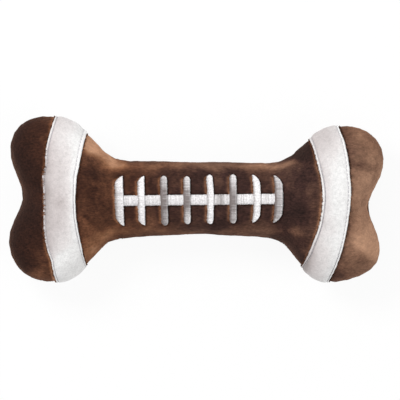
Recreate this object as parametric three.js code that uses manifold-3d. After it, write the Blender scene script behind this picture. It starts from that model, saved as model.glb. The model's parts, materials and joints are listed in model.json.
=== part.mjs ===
// Plush bone dog toy, in millimetres, lying on its back.
// X runs along the bone, Y across it, and Z up out of the laced face.
// Two velour panels meet at a seam that runs round the bone, and are stuffed with fibre.
// White strips cross both ends, satin-stitched laces run along the shaft,
// and a pleated squeaker sits in the stuffing under the laces.
import * as THREE from 'three';
import { mergeVertices } from 'three/addons/utils/BufferGeometryUtils.js';
import Module from 'manifold-3d';

const wasm = await Module();
wasm.setup();

// Seam outline. "Out" runs from the middle of a neck along its end, and "across" square to that.
const neckToNeck = 118.5;
const neckRise = 0.75;
const leftEnd = {
  tiltDegrees: -0.9,
  neckHalf: 29.5,
  notchOut: 72,
  upper: { footOut: -2.5, crownOut: 52.5, crownAcross: 61.5, tipOut: 82, tipAcross: 36 },
  lower: { footOut: -3, crownOut: 48.5, crownAcross: 62.5, tipOut: 82, tipAcross: 31 },
  band: { middleOut: 44.2, across: 3.3, width: 24, bowRadius: 190 },
};
const rightEnd = {
  tiltDegrees: -2.9,
  neckHalf: 29,
  notchOut: 68.5,
  upper: { footOut: -4, crownOut: 48, crownAcross: 59.5, tipOut: 78.5, tipAcross: 32 },
  lower: { footOut: -2, crownOut: 41.5, crownAcross: 58, tipOut: 79, tipAcross: 34 },
  band: { middleOut: 44.2, across: 0, width: 21.5, bowRadius: 123 },
};
const upperWaist = 1;
const lowerWaist = 3;

// Handles of the outline's curves, as shares of the stretch that each curve covers.
const notchShare = 0.29;
const tipShare = 0.37;
const lobeShare = 0.61;
const crownShare = 0.53;
const footShare = 0.32;
const shaftShare = 0.22;

// Stuffed thickness, from the seam up to the ridge.
const endHalfThickness = 31;
const shaftHalfThickness = 23.5;
const heartOut = 40;
const fullnessShare = 0.86;

// Fabric layers.
const layerGap = 0.3;
const panelWall = 2;
const seamAllowance = 6;
const bandThickness = 1.2;
const backingThickness = 0.5;
const restFlat = 0.5;

// Laces.
const laceCount = 8;
const lacePitch = 17.05;
const laceLength = 37.6;
const laceWidth = 6.8;
const laceThickness = 1.3;
const spineWidth = 7.8;
const spineThickness = 0.9;
const laceTiltDegrees = 0.7;
const laceRamp = 1.6;
const leaningCount = 2;
const backingMargin = 2.5;
const backingCorner = 5;

// Squeaker.
const squeakerRadius = 17;
const squeakerHeight = 26;
const baseThickness = 3;
const capThickness = 2.4;
const capCrown = 1.2;
const pleatCount = 3;
const pleatDepth = 3;
const pleatWall = 0.9;
const plugDepth = 2;
const plugWall = 1.4;
const collarHeight = 6;
const collarWall = 1.6;
const barrelRadius = 4.2;
const barrelWall = 1;
const barrelLength = 11;
const barrelFlange = 1.8;
const barrelFlangeThickness = 1.2;
const reedThickness = 0.35;
const reedWidth = 3.4;
const reedLength = 9;
const reedSeatLength = 8;
const reedClipLength = 3.4;
const reedTroughWidth = 1.6;
const reedTroughDepth = 1;

// How finely the curves are divided.
const notchSteps = 4;
const lobeSteps = 6;
const flareSteps = 6;
const shaftSteps = 8;
const outerRings = 7;
const innerRings = 5;
const bandArcSteps = 12;
const roundSteps = 24;
const laceArmSteps = 2;
const spineStepsPerLace = 3;
const backingCornerSteps = 4;

const cutOver = 10;
const weldDistance = 1e-4;

const velour = new THREE.MeshStandardMaterial({ color: '#5b3c2d', roughness: 0.95, metalness: 0 });
const whitePlush = new THREE.MeshStandardMaterial({ color: '#f1edee', roughness: 0.92, metalness: 0 });
const satinThread = new THREE.MeshStandardMaterial({ color: '#e9e6e6', roughness: 0.45, metalness: 0 });
const backingFelt = new THREE.MeshStandardMaterial({ color: '#e6e3dc', roughness: 0.95, metalness: 0 });
const fibreFill = new THREE.MeshStandardMaterial({ color: '#f4f3ef', roughness: 1, metalness: 0 });
const softPlastic = new THREE.MeshStandardMaterial({ color: '#dfe3e4', roughness: 0.4, metalness: 0 });
const hardPlastic = new THREE.MeshStandardMaterial({ color: '#f2f2ee', roughness: 0.3, metalness: 0 });
const reedFilm = new THREE.MeshStandardMaterial({ color: '#c9ccd0', roughness: 0.25, metalness: 0 });

const steps = (count) => Array.from({ length: count + 1 }, (_, i) => i / count);
const direction = (degrees) => {
  const angle = THREE.MathUtils.degToRad(degrees);
  return new THREE.Vector2(Math.cos(angle), Math.sin(angle));
};

// Solids

// A body as a manifold-3d solid, and back.
function toSolid(geometry) {
  const bare = new THREE.BufferGeometry().setAttribute('position', geometry.getAttribute('position'));
  bare.setIndex(geometry.index);
  const merged = mergeVertices(bare, weldDistance);
  return new wasm.Manifold(new wasm.Mesh({
    numProp: 3,
    vertProperties: merged.getAttribute('position').array,
    triVerts: new Uint32Array(merged.index.array),
  }));
}

function toGeometry(solid) {
  const mesh = solid.getMesh();
  const geometry = new THREE.BufferGeometry();
  geometry.setAttribute('position', new THREE.BufferAttribute(new Float32Array(mesh.vertProperties), 3));
  geometry.setIndex(new THREE.BufferAttribute(new Uint32Array(mesh.triVerts), 1));
  return geometry;
}

// Joins rings of points, each to the next, and drops the faces that a closed-up ring leaves without area.
function ringSurface(rings) {
  const across = rings[0].length;
  const points = rings.flat().flatMap((point) => point.toArray());
  const faces = [];
  for (let ring = 0; ring + 1 < rings.length; ring += 1) {
    for (let column = 0; column < across; column += 1) {
      const near = ring * across + column;
      const next = ring * across + ((column + 1) % across);
      faces.push(near, next, near + across, next, next + across, near + across);
    }
  }
  const geometry = new THREE.BufferGeometry();
  geometry.setAttribute('position', new THREE.Float32BufferAttribute(points, 3));
  geometry.setIndex(faces);
  const merged = mergeVertices(geometry, weldDistance);
  const corners = Array.from(merged.index.array);
  const kept = [];
  for (let at = 0; at < corners.length; at += 3) {
    const [a, b, c] = corners.slice(at, at + 3);
    if (a !== b && b !== c && c !== a) kept.push(a, b, c);
  }
  merged.setIndex(kept);
  return merged;
}

// A flat outline as a solid between two heights.
function prism(shape, bottom, top, curveSegments) {
  const geometry = new THREE.ExtrudeGeometry(shape, {
    depth: top - bottom,
    bevelEnabled: false,
    curveSegments,
  });
  return geometry.translate(0, 0, bottom);
}

function block(low, high) {
  const size = high.clone().sub(low);
  const geometry = new THREE.BoxGeometry(size.x, size.y, size.z);
  const middle = low.clone().add(high).multiplyScalar(1 / 2);
  return toSolid(geometry.translate(middle.x, middle.y, middle.z));
}

// A turned body round the Z axis, from [radius, height] points.
function turned(profile, closes) {
  const points = profile.map(([radius, height]) => new THREE.Vector2(radius, height));
  if (closes) points.push(points[0].clone());
  return new THREE.LatheGeometry(points, roundSteps).rotateX(Math.PI / 2);
}

// Seam outline

// Turns "out" and "across" distances of one end into a place in the toy's plan.
function endFrame(end, side) {
  const along = direction(end.tiltDegrees);
  const across = new THREE.Vector2(-along.y, along.x);
  const neck = new THREE.Vector2(side * neckToNeck / 2, -side * neckRise);
  return (out, up) => neck.clone().addScaledVector(along, side * out).addScaledVector(across, up);
}

const leftFrame = endFrame(leftEnd, -1);
const rightFrame = endFrame(rightEnd, 1);
const blend = (from, to, share) => from + (to - from) * share;
const curvePoints = (corners, count) => new THREE.CubicBezierCurve(...corners).getPoints(count);

// One quarter of the outline, from the notch round the lobe and down the flare to the neck.
function lobeOutline(end, frame, lobe, up) {
  const { footOut, crownOut, crownAcross, tipOut, tipAcross } = lobe;
  const place = (out, across) => frame(out, up * across);
  const notchToTip = curvePoints([
    place(end.notchOut, 0),
    place(end.notchOut, tipAcross * notchShare),
    place(tipOut, blend(tipAcross, 0, tipShare)),
    place(tipOut, tipAcross),
  ], notchSteps);
  const tipToCrown = curvePoints([
    place(tipOut, tipAcross),
    place(tipOut, blend(tipAcross, crownAcross, lobeShare)),
    place(blend(crownOut, tipOut, lobeShare), crownAcross),
    place(crownOut, crownAcross),
  ], lobeSteps);
  const crownToFoot = curvePoints([
    place(crownOut, crownAcross),
    place(blend(crownOut, footOut, crownShare), crownAcross),
    place(blend(footOut, crownOut, footShare), end.neckHalf),
    place(footOut, end.neckHalf),
  ], flareSteps);
  return [...notchToTip, ...tipToCrown.slice(1), ...crownToFoot.slice(1)];
}

// The outline's upper or lower half, from the left notch to the right notch.
function halfOutline(level, waist, up) {
  const left = lobeOutline(leftEnd, leftFrame, leftEnd[level], up);
  const right = lobeOutline(rightEnd, rightFrame, rightEnd[level], up);
  const reach = neckToNeck * shaftShare;
  const shaft = curvePoints([
    leftFrame(leftEnd[level].footOut, up * leftEnd.neckHalf),
    leftFrame(leftEnd[level].footOut - reach, up * (leftEnd.neckHalf - waist)),
    rightFrame(rightEnd[level].footOut - reach, up * (rightEnd.neckHalf - waist)),
    rightFrame(rightEnd[level].footOut, up * rightEnd.neckHalf),
  ], shaftSteps);
  return [...left, ...shaft.slice(1, -1), ...right.reverse()];
}

const upperHalf = halfOutline('upper', upperWaist, 1);
const lowerHalf = halfOutline('lower', lowerWaist, -1);

// The spine is the ridge under each pair of outline points. It ends at a heart in each end,
// which every point of that end's two lobes looks back to.
function spineAndHeight(column) {
  const last = upperHalf.length - 1;
  const lobeEnd = notchSteps + lobeSteps;
  const footAt = lobeEnd + flareSteps;
  const fromEnd = Math.min(column, last - column);
  const frame = column < last / 2 ? leftFrame : rightFrame;
  const middle = upperHalf[column].clone().add(lowerHalf[column]).multiplyScalar(1 / 2);
  if (fromEnd >= footAt) return { spine: middle, half: shaftHalfThickness };
  const foot = column < last / 2 ? footAt : last - footAt;
  const neck = upperHalf[foot].clone().add(lowerHalf[foot]).multiplyScalar(1 / 2);
  const share = Math.max(0, fromEnd - lobeEnd) / flareSteps;
  const ease = THREE.MathUtils.smoothstep(share, 0, 1);
  return {
    spine: frame(heartOut, 0).lerp(neck, share),
    half: blend(endHalfThickness, shaftHalfThickness, ease),
  };
}

const ridge = upperHalf.map((_, column) => spineAndHeight(column));

// The closed seam loop: along the upper half to the right, and back along the lower half.
const loopHalf = upperHalf.map((point, column) => ({ point, ...ridge[column] }));
const loopBack = lowerHalf.map((point, column) => ({ point, ...ridge[column] })).slice(1, -1).reverse();
const seamLoop = [...loopHalf, ...loopBack].map((sample, index, all) => {
  const before = all[(index + all.length - 1) % all.length].point;
  const after = all[(index + 1) % all.length].point;
  const run = after.clone().sub(before).normalize();
  return { ...sample, inward: new THREE.Vector2(run.y, -run.x) };
});

// Stuffed skins

// A flat ring that follows the seam, moved in from it and set at one height.
function flatRing(inset, height) {
  return seamLoop.map(({ point, inward }) => {
    const at = point.clone().addScaledVector(inward, inset);
    return new THREE.Vector3(at.x, at.y, height);
  });
}

// Rings of a stuffed skin, from its edge to its ridge. Side is 1 for the laced face and -1 for the back.
function skinRings(inset, side, edgeHeight, rings) {
  return steps(rings).map((share) => {
    const angle = share * Math.PI / 2;
    return seamLoop.map(({ point, inward, spine, half }) => {
      const edge = point.clone().addScaledVector(inward, inset);
      const at = spine.clone().lerp(edge, Math.cos(angle));
      const height = Math.max(edgeHeight, (half - inset) * Math.sin(angle) ** fullnessShare);
      return new THREE.Vector3(at.x, at.y, side * height);
    });
  });
}

const facing = (rings, side) => ringSurface(side > 0 ? rings : [...rings].reverse());

// Half of the gap between the two panels along the seam.
const seamClearance = layerGap / 2;
const allowanceTop = seamClearance + panelWall;

// A velour panel with its seam allowance turned in along the seam.
function panel(side) {
  const outer = skinRings(0, side, seamClearance, outerRings).reverse();
  const allowance = [
    flatRing(seamAllowance, side * seamClearance),
    flatRing(seamAllowance, side * allowanceTop),
  ];
  const inner = skinRings(panelWall, side, allowanceTop, innerRings);
  return facing([...outer, ...allowance, ...inner], side);
}

// A strip across one end: the slice of an outer skin between two arcs.
function band(end, frame, outward, side) {
  const { middleOut, across, width, bowRadius } = end.band;
  const outerArc = bowRadius + width / 2;
  const innerArc = bowRadius - width / 2;
  const tallest = Math.max(end.upper.crownAcross, end.lower.crownAcross) + Math.abs(across) + cutOver;
  const spread = Math.asin(Math.min(1, tallest / innerArc));
  const centre = frame(middleOut - bowRadius, across);
  const heading = THREE.MathUtils.degToRad(end.tiltDegrees) + (outward > 0 ? 0 : Math.PI);
  const outline = new THREE.Shape();
  outline.absarc(centre.x, centre.y, outerArc, heading - spread, heading + spread, false);
  outline.absarc(centre.x, centre.y, innerArc, heading + spread, heading - spread, true);
  outline.closePath();
  const reach = endHalfThickness + cutOver;
  const slice = toSolid(prism(outline, -reach, reach, bandArcSteps));
  const top = skinRings(-layerGap - bandThickness, side, seamClearance, outerRings).reverse();
  const under = skinRings(-layerGap, side, seamClearance, outerRings);
  return toSolid(facing([...top, ...under], side)).intersect(slice);
}

// The back strips carry the toy, so each is pressed flat where it meets the ground.
const groundHeight = -(endHalfThickness + layerGap + bandThickness - restFlat);
const farOut = neckToNeck / 2 + Math.max(leftEnd.upper.tipOut, rightEnd.lower.tipOut) + cutOver;

function backBand(end, frame, outward) {
  const ground = block(
    new THREE.Vector3(-farOut, -farOut, groundHeight - cutOver),
    new THREE.Vector3(farOut, farOut, groundHeight),
  );
  return band(end, frame, outward, -1).subtract(ground);
}

// Laces

const facets = facing(skinRings(0, 1, 0, outerRings).reverse(), 1);

// Height of the laced face above the seam at a place in plan.
function faceHeight(place) {
  const position = facets.getAttribute('position');
  const corner = [new THREE.Vector3(), new THREE.Vector3(), new THREE.Vector3()];
  const hit = new THREE.Vector3();
  const down = new THREE.Vector3(0, 0, -1);
  const ray = new THREE.Ray(new THREE.Vector3(place.x, place.y, endHalfThickness + cutOver), down);
  for (let at = 0; at < facets.index.count; at += 3) {
    corner.forEach((point, i) => point.fromBufferAttribute(position, facets.index.getX(at + i)));
    if (ray.intersectTriangle(...corner, false, hit)) return hit.z;
  }
  return 0;
}

const laceTilt = direction(laceTiltDegrees);
const lacePlace = (along, across) => new THREE.Vector2(
  laceTilt.x * along - laceTilt.y * across,
  laceTilt.y * along + laceTilt.x * across,
);

// A satin-stitched strip on the face. Each row crosses it from one place to another, at a lift
// above the face, and its top swells from an edge to the middle and back.
const satinShares = [0.35, 0.85, 1, 0.85, 0.35];

function satinStrip(rows, thickness) {
  const loops = rows.map(({ from, to, lift, swell }) => {
    const under = satinShares.map((_, i) => {
      const place = from.clone().lerp(to, i / (satinShares.length - 1));
      return new THREE.Vector3(place.x, place.y, faceHeight(place) + lift);
    });
    const over = under.map((point, i) => {
      const rise = thickness * satinShares[i] * swell;
      return point.clone().setZ(point.z + rise);
    });
    return [...under, ...over.reverse()];
  });
  return capped(loops);
}

// Closes a row of loops with a point in the middle of each end.
function capped(loops) {
  const middleOf = (loop) => loop.map(() => loop.reduce(
    (sum, point) => sum.add(point),
    new THREE.Vector3(),
  ).divideScalar(loop.length));
  return ringSurface([middleOf(loops[0]), ...loops, middleOf(loops[loops.length - 1])]);
}

// A cross lace tapers to its tips and climbs over the spine. Lean moves its tips towards one edge.
const tipWidthShares = [0.3, 0.62, 0.88, 1];
const tipPlaceShares = [1, 0.97, 0.89, 0.76];

function crossLace(along, lean) {
  const half = laceLength / 2;
  const bridge = spineWidth / 2 + layerGap;
  const tips = tipPlaceShares.map((place, i) => ({
    across: half * place,
    width: laceWidth * tipWidthShares[i],
    lift: layerGap,
    swell: tipWidthShares[i],
  }));
  const raised = layerGap + spineThickness + layerGap;
  const tipEnd = half * tipPlaceShares[tipPlaceShares.length - 1];
  const arm = steps(laceArmSteps).slice(1).map((share) => ({
    across: blend(tipEnd, bridge + laceRamp, share),
    width: laceWidth,
    lift: layerGap,
    swell: 1,
  }));
  const overSpine = (across) => ({ across, width: laceWidth, lift: raised, swell: 1 });
  const halfRows = [...tips, ...arm, overSpine(bridge), overSpine(bridge / 2)];
  const mirrored = halfRows.map((row) => ({ ...row, across: -row.across })).reverse();
  const rows = [...halfRows, overSpine(0), ...mirrored].map(({ across, width, lift, swell }) => {
    const centre = along + lean * (laceWidth - width) / 2;
    return {
      from: lacePlace(centre - width / 2, across),
      to: lacePlace(centre + width / 2, across),
      lift,
      swell,
    };
  });
  return satinStrip(rows, laceThickness);
}

// The spine lace runs between the two end laces, and thins out as it starts and ends.
const spineStartShares = [0.4, 0.8, 1];

function spineLace() {
  const reach = lacePitch * (laceCount - 1) / 2;
  const columns = (laceCount - 1) * spineStepsPerLace;
  const rows = steps(columns).map((share, i) => {
    const along = blend(-reach, reach, share);
    const fromEnd = Math.min(i, columns - i);
    const swell = spineStartShares[Math.min(fromEnd, spineStartShares.length - 1)];
    return {
      from: lacePlace(along, -spineWidth / 2),
      to: lacePlace(along, spineWidth / 2),
      lift: layerGap,
      swell,
    };
  });
  return satinStrip(rows, spineThickness);
}

// A round-cornered patch of the skin behind the laces, between two depths under the face.
function lacePatch(topInset, underInset, margin) {
  const halfLong = lacePitch * (laceCount - 1) / 2 + laceWidth / 2 + margin;
  const halfWide = laceLength / 2 + margin;
  const outline = new THREE.Shape();
  [[1, -1], [1, 1], [-1, 1], [-1, -1]].forEach(([along, across]) => {
    const centre = lacePlace(along * (halfLong - backingCorner), across * (halfWide - backingCorner));
    const outward = Math.atan2(across, along) + THREE.MathUtils.degToRad(laceTiltDegrees);
    outline.absarc(centre.x, centre.y, backingCorner, outward - Math.PI / 4, outward + Math.PI / 4, false);
  });
  outline.closePath();
  const edge = allowanceTop + layerGap;
  const top = skinRings(topInset, 1, edge, innerRings).reverse();
  const under = skinRings(underInset, 1, edge, innerRings);
  const patch = prism(outline, 0, endHalfThickness, backingCornerSteps);
  return toSolid(facing([...top, ...under], 1)).intersect(toSolid(patch));
}

// The stiffening felt lies against the inside of the laced panel.
const fillInset = panelWall + layerGap;
const feltUnderside = fillInset + backingThickness;
const laceBacking = () => lacePatch(fillInset, feltUnderside, backingMargin);

// Stuffing

// The whole filling, with a groove that takes the two seam allowances and a recess for the felt.
function fillBody() {
  const groove = allowanceTop + layerGap;
  const grooveIn = seamAllowance + layerGap;
  const front = skinRings(fillInset, 1, groove, innerRings).reverse();
  const back = skinRings(fillInset, -1, groove, innerRings);
  const recess = lacePatch(panelWall, feltUnderside + layerGap, backingMargin + layerGap);
  return toSolid(facing([
    ...front,
    flatRing(grooveIn, groove),
    flatRing(grooveIn, -groove),
    ...back,
  ], 1)).subtract(recess);
}

// The filling is split at the necks, into one portion for each lobe and two for the shaft.
const filling = fillBody();
const splitHalf = layerGap / 2;
const splitAt = neckToNeck / 2;

// One lobe's portion: all that lies outward of a neck, on one side of the bone's axis.
function lobeFill(outward, up) {
  const tall = up > 0 ? [splitHalf, farOut] : [-farOut, -splitHalf];
  const long = outward > 0 ? [splitAt + splitHalf, farOut] : [-farOut, -splitAt - splitHalf];
  return filling.intersect(block(
    new THREE.Vector3(long[0], tall[0], -farOut),
    new THREE.Vector3(long[1], tall[1], farOut),
  ));
}

// Half of the shaft's portion, with its half of the pocket round the squeaker.
function shaftFill(side) {
  const deep = side > 0 ? [splitHalf, farOut] : [-farOut, -splitHalf];
  const pocket = turned([
    [0, -squeakerHeight / 2 - layerGap],
    [squeakerRadius + layerGap, -squeakerHeight / 2 - layerGap],
    [squeakerRadius + layerGap, squeakerHeight / 2 + layerGap],
    [0, squeakerHeight / 2 + layerGap],
  ], false);
  return filling.intersect(block(
    new THREE.Vector3(-splitAt + splitHalf, -farOut, deep[0]),
    new THREE.Vector3(splitAt - splitHalf, farOut, deep[1]),
  )).subtract(toSolid(pocket));
}

// Squeaker, round the Z axis, with its middle on the seam's level

const squeakerBottom = -squeakerHeight / 2;
const baseTop = squeakerBottom + baseThickness;
const capBottom = squeakerHeight / 2 - capThickness;
const boreRadius = barrelRadius + layerGap;

// The stiff floor disc, with a counterbore for the reed barrel's flange and a collar round it.
function squeakerBase() {
  const flangeSeat = squeakerBottom + barrelFlangeThickness + layerGap;
  const counterbore = barrelRadius + barrelFlange + layerGap;
  return turned([
    [counterbore, squeakerBottom],
    [squeakerRadius, squeakerBottom],
    [squeakerRadius, baseTop],
    [boreRadius + collarWall, baseTop],
    [boreRadius + collarWall, baseTop + collarHeight],
    [boreRadius, baseTop + collarHeight],
    [boreRadius, flangeSeat],
    [counterbore, flangeSeat],
  ], true);
}

// The pleated wall between the floor and the cap.
function squeakerBellows() {
  const bottom = baseTop + layerGap;
  const top = capBottom - layerGap;
  const folds = pleatCount * 2;
  const outer = steps(folds).map((share, i) => [
    squeakerRadius - (i % 2 ? pleatDepth : 0),
    blend(bottom, top, share),
  ]);
  const inner = outer.map(([radius, height]) => [radius - pleatWall, height]).reverse();
  return turned([...outer, ...inner], true);
}

// The domed cap, with a plug that centres it in the bellows.
function squeakerCap() {
  const plugRadius = squeakerRadius - pleatDepth - pleatWall - layerGap;
  const rimTop = squeakerHeight / 2 - capCrown;
  return turned([
    [0, capBottom],
    [plugRadius - plugWall, capBottom],
    [plugRadius - plugWall, capBottom - plugDepth],
    [plugRadius, capBottom - plugDepth],
    [plugRadius, capBottom],
    [squeakerRadius, capBottom],
    [squeakerRadius, rimTop],
    [squeakerRadius - capCrown, squeakerHeight / 2],
    [0, squeakerHeight / 2],
  ], false);
}

// The reed's barrel, pushed up into the floor's collar until its flange seats.
function reedBarrel() {
  return turned([
    [barrelRadius - barrelWall, squeakerBottom],
    [barrelRadius + barrelFlange, squeakerBottom],
    [barrelRadius + barrelFlange, squeakerBottom + barrelFlangeThickness],
    [barrelRadius, squeakerBottom + barrelFlangeThickness],
    [barrelRadius, squeakerBottom + barrelLength],
    [barrelRadius - barrelWall, squeakerBottom + barrelLength],
  ], true);
}

// Half-round pieces stand in the barrel. Their flats face the reed, which lies on the axis.
const seatRadius = barrelRadius - barrelWall - layerGap;
const flatBack = reedThickness / 2 + layerGap;
const reedBottom = squeakerBottom + (barrelLength - reedLength) / 2;

function halfRound(trough) {
  const corner = Math.acos(flatBack / seatRadius);
  const outline = new THREE.Shape();
  outline.absarc(0, 0, seatRadius, -corner, corner, false);
  if (trough) {
    outline.lineTo(flatBack, reedTroughWidth / 2);
    outline.lineTo(flatBack + reedTroughDepth, reedTroughWidth / 2);
    outline.lineTo(flatBack + reedTroughDepth, -reedTroughWidth / 2);
    outline.lineTo(flatBack, -reedTroughWidth / 2);
  }
  outline.closePath();
  return outline;
}

function reedSeat() {
  return prism(halfRound(true), reedBottom, reedBottom + reedSeatLength, bandArcSteps);
}

function reedClip() {
  const clip = prism(halfRound(false), reedBottom, reedBottom + reedClipLength, bandArcSteps);
  return clip.rotateZ(Math.PI);
}

function reed() {
  const blade = new THREE.BoxGeometry(reedThickness, reedWidth, reedLength);
  return blade.translate(0, 0, reedBottom + reedLength / 2);
}

// Assembly

const toy = new THREE.Group();

function add(name, geometry, material) {
  const mesh = new THREE.Mesh(geometry, material);
  mesh.name = name;
  toy.add(mesh);
}

add('front_panel', panel(1), velour);
add('back_panel', panel(-1), velour);
add('front_band_left', toGeometry(band(leftEnd, leftFrame, -1, 1)), whitePlush);
add('front_band_right', toGeometry(band(rightEnd, rightFrame, 1, 1)), whitePlush);
add('back_band_left', toGeometry(backBand(leftEnd, leftFrame, -1)), whitePlush);
add('back_band_right', toGeometry(backBand(rightEnd, rightFrame, 1)), whitePlush);

add('lace_spine', spineLace(), satinThread);
// The laces near each end of the row are cut off on the side that faces away from the middle.
for (let i = 0; i < laceCount; i += 1) {
  const along = lacePitch * (i - (laceCount - 1) / 2);
  const leansIn = i < leaningCount ? 1 : 0;
  const leansOut = i >= laceCount - leaningCount ? -1 : 0;
  add(`lace_cross_${i + 1}`, crossLace(along, leansIn + leansOut), satinThread);
}
add('lace_backing', toGeometry(laceBacking()), backingFelt);

add('fill_left_upper', toGeometry(lobeFill(-1, 1)), fibreFill);
add('fill_left_lower', toGeometry(lobeFill(-1, -1)), fibreFill);
add('fill_right_upper', toGeometry(lobeFill(1, 1)), fibreFill);
add('fill_right_lower', toGeometry(lobeFill(1, -1)), fibreFill);
add('fill_shaft_front', toGeometry(shaftFill(1)), fibreFill);
add('fill_shaft_back', toGeometry(shaftFill(-1)), fibreFill);

add('squeaker_base', squeakerBase(), softPlastic);
add('squeaker_bellows', squeakerBellows(), softPlastic);
add('squeaker_cap', squeakerCap(), softPlastic);
add('reed_barrel', reedBarrel(), hardPlastic);
add('reed_seat', reedSeat(), hardPlastic);
add('reed_clip', reedClip(), hardPlastic);
add('reed', reed(), reedFilm);

// The origin is under the middle of the toy, on the surface that it lies on.
const extent = new THREE.Box3().setFromObject(toy);
const middle = extent.getCenter(new THREE.Vector3());
toy.position.set(-middle.x, -middle.y, -extent.min.z);

export default toy;
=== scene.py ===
"""Looks of the plush bone dog toy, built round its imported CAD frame.

Metres, Z up, laced face up. The two velour panels are swollen by a cloth simulation, and the strips,
laces, stitches and pile fringes are laid on the swollen cloth.
"""

import json
import math
import random
from collections import namedtuple
from contextlib import contextmanager

import bmesh
import bpy
import numpy as np
from mathutils import Vector, noise
from mathutils.bvhtree import BVHTree
from mathutils.kdtree import KDTree
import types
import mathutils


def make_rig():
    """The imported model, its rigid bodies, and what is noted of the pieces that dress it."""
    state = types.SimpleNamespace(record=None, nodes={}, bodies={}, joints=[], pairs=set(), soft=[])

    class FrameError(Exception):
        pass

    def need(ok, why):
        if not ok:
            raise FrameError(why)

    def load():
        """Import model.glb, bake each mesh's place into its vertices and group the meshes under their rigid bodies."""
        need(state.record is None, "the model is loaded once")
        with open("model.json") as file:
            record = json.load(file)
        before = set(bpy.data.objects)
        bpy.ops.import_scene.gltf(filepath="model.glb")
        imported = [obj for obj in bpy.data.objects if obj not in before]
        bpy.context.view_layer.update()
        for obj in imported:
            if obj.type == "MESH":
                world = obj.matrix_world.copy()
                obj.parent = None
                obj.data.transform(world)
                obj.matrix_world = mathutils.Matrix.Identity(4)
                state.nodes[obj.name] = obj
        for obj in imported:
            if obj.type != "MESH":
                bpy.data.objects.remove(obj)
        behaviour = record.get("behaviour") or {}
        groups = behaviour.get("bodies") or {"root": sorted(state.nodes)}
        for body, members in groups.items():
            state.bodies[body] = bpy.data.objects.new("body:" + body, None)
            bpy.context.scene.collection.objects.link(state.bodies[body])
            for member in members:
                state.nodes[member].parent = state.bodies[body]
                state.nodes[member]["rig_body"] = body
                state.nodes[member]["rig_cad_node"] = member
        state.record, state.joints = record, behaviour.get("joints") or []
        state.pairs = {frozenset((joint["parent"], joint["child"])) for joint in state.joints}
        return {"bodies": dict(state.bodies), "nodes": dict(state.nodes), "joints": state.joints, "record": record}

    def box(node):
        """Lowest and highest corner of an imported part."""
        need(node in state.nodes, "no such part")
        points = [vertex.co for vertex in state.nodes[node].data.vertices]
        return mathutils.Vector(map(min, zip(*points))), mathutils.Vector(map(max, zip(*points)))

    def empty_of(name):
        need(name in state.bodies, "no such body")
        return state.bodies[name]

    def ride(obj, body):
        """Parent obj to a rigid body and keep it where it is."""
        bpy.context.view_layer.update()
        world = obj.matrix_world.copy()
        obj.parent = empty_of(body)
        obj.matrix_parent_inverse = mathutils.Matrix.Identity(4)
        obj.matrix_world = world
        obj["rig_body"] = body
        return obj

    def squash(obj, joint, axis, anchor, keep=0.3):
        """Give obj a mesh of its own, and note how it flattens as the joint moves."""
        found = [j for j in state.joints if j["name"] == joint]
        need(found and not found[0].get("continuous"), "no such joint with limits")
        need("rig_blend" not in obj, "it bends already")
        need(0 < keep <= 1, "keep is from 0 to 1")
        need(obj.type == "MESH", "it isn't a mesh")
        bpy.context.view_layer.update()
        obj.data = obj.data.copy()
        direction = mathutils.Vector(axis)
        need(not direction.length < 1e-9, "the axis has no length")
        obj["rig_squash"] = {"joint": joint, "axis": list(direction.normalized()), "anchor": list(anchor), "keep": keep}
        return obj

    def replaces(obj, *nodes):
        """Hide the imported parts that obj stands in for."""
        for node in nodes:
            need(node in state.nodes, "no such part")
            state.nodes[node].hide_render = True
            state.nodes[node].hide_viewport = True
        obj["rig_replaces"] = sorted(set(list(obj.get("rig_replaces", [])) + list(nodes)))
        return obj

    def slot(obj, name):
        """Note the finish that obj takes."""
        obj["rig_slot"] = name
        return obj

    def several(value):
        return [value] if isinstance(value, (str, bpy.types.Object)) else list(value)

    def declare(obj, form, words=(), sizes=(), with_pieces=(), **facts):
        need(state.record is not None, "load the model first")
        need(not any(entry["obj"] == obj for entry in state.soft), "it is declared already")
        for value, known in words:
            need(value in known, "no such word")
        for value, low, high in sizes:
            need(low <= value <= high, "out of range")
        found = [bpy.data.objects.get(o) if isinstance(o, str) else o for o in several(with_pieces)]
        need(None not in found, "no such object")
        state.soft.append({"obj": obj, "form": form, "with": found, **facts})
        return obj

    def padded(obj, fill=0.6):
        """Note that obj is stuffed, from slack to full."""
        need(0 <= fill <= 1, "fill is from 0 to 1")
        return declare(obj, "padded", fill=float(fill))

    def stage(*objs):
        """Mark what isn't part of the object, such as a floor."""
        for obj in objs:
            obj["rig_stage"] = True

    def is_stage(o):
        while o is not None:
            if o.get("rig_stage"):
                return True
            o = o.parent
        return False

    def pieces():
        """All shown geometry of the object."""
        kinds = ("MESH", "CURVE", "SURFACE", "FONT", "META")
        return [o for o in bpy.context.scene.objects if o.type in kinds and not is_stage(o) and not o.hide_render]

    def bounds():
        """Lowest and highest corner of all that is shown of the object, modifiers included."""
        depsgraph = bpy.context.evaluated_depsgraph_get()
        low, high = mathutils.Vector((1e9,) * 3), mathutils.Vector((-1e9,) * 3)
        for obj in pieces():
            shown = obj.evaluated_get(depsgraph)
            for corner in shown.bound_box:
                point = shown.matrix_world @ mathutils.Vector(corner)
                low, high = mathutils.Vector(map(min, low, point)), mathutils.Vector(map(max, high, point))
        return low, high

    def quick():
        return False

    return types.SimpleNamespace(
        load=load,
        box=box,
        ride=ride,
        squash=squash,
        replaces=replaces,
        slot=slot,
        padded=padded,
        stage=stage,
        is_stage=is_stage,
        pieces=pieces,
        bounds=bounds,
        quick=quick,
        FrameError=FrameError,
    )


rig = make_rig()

MM = 0.001

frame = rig.load()
cad_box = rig.bounds()
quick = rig.quick()
scene = bpy.context.scene

PLUSH_BODY = "plush_body"
FACES = ((1, "front"), (-1, "back"))
PRESS_JOINT = "squeaker_press"
PRESS_DEPTH = next(j for j in frame["joints"] if j["name"] == PRESS_JOINT)["range_m"][1]
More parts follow.
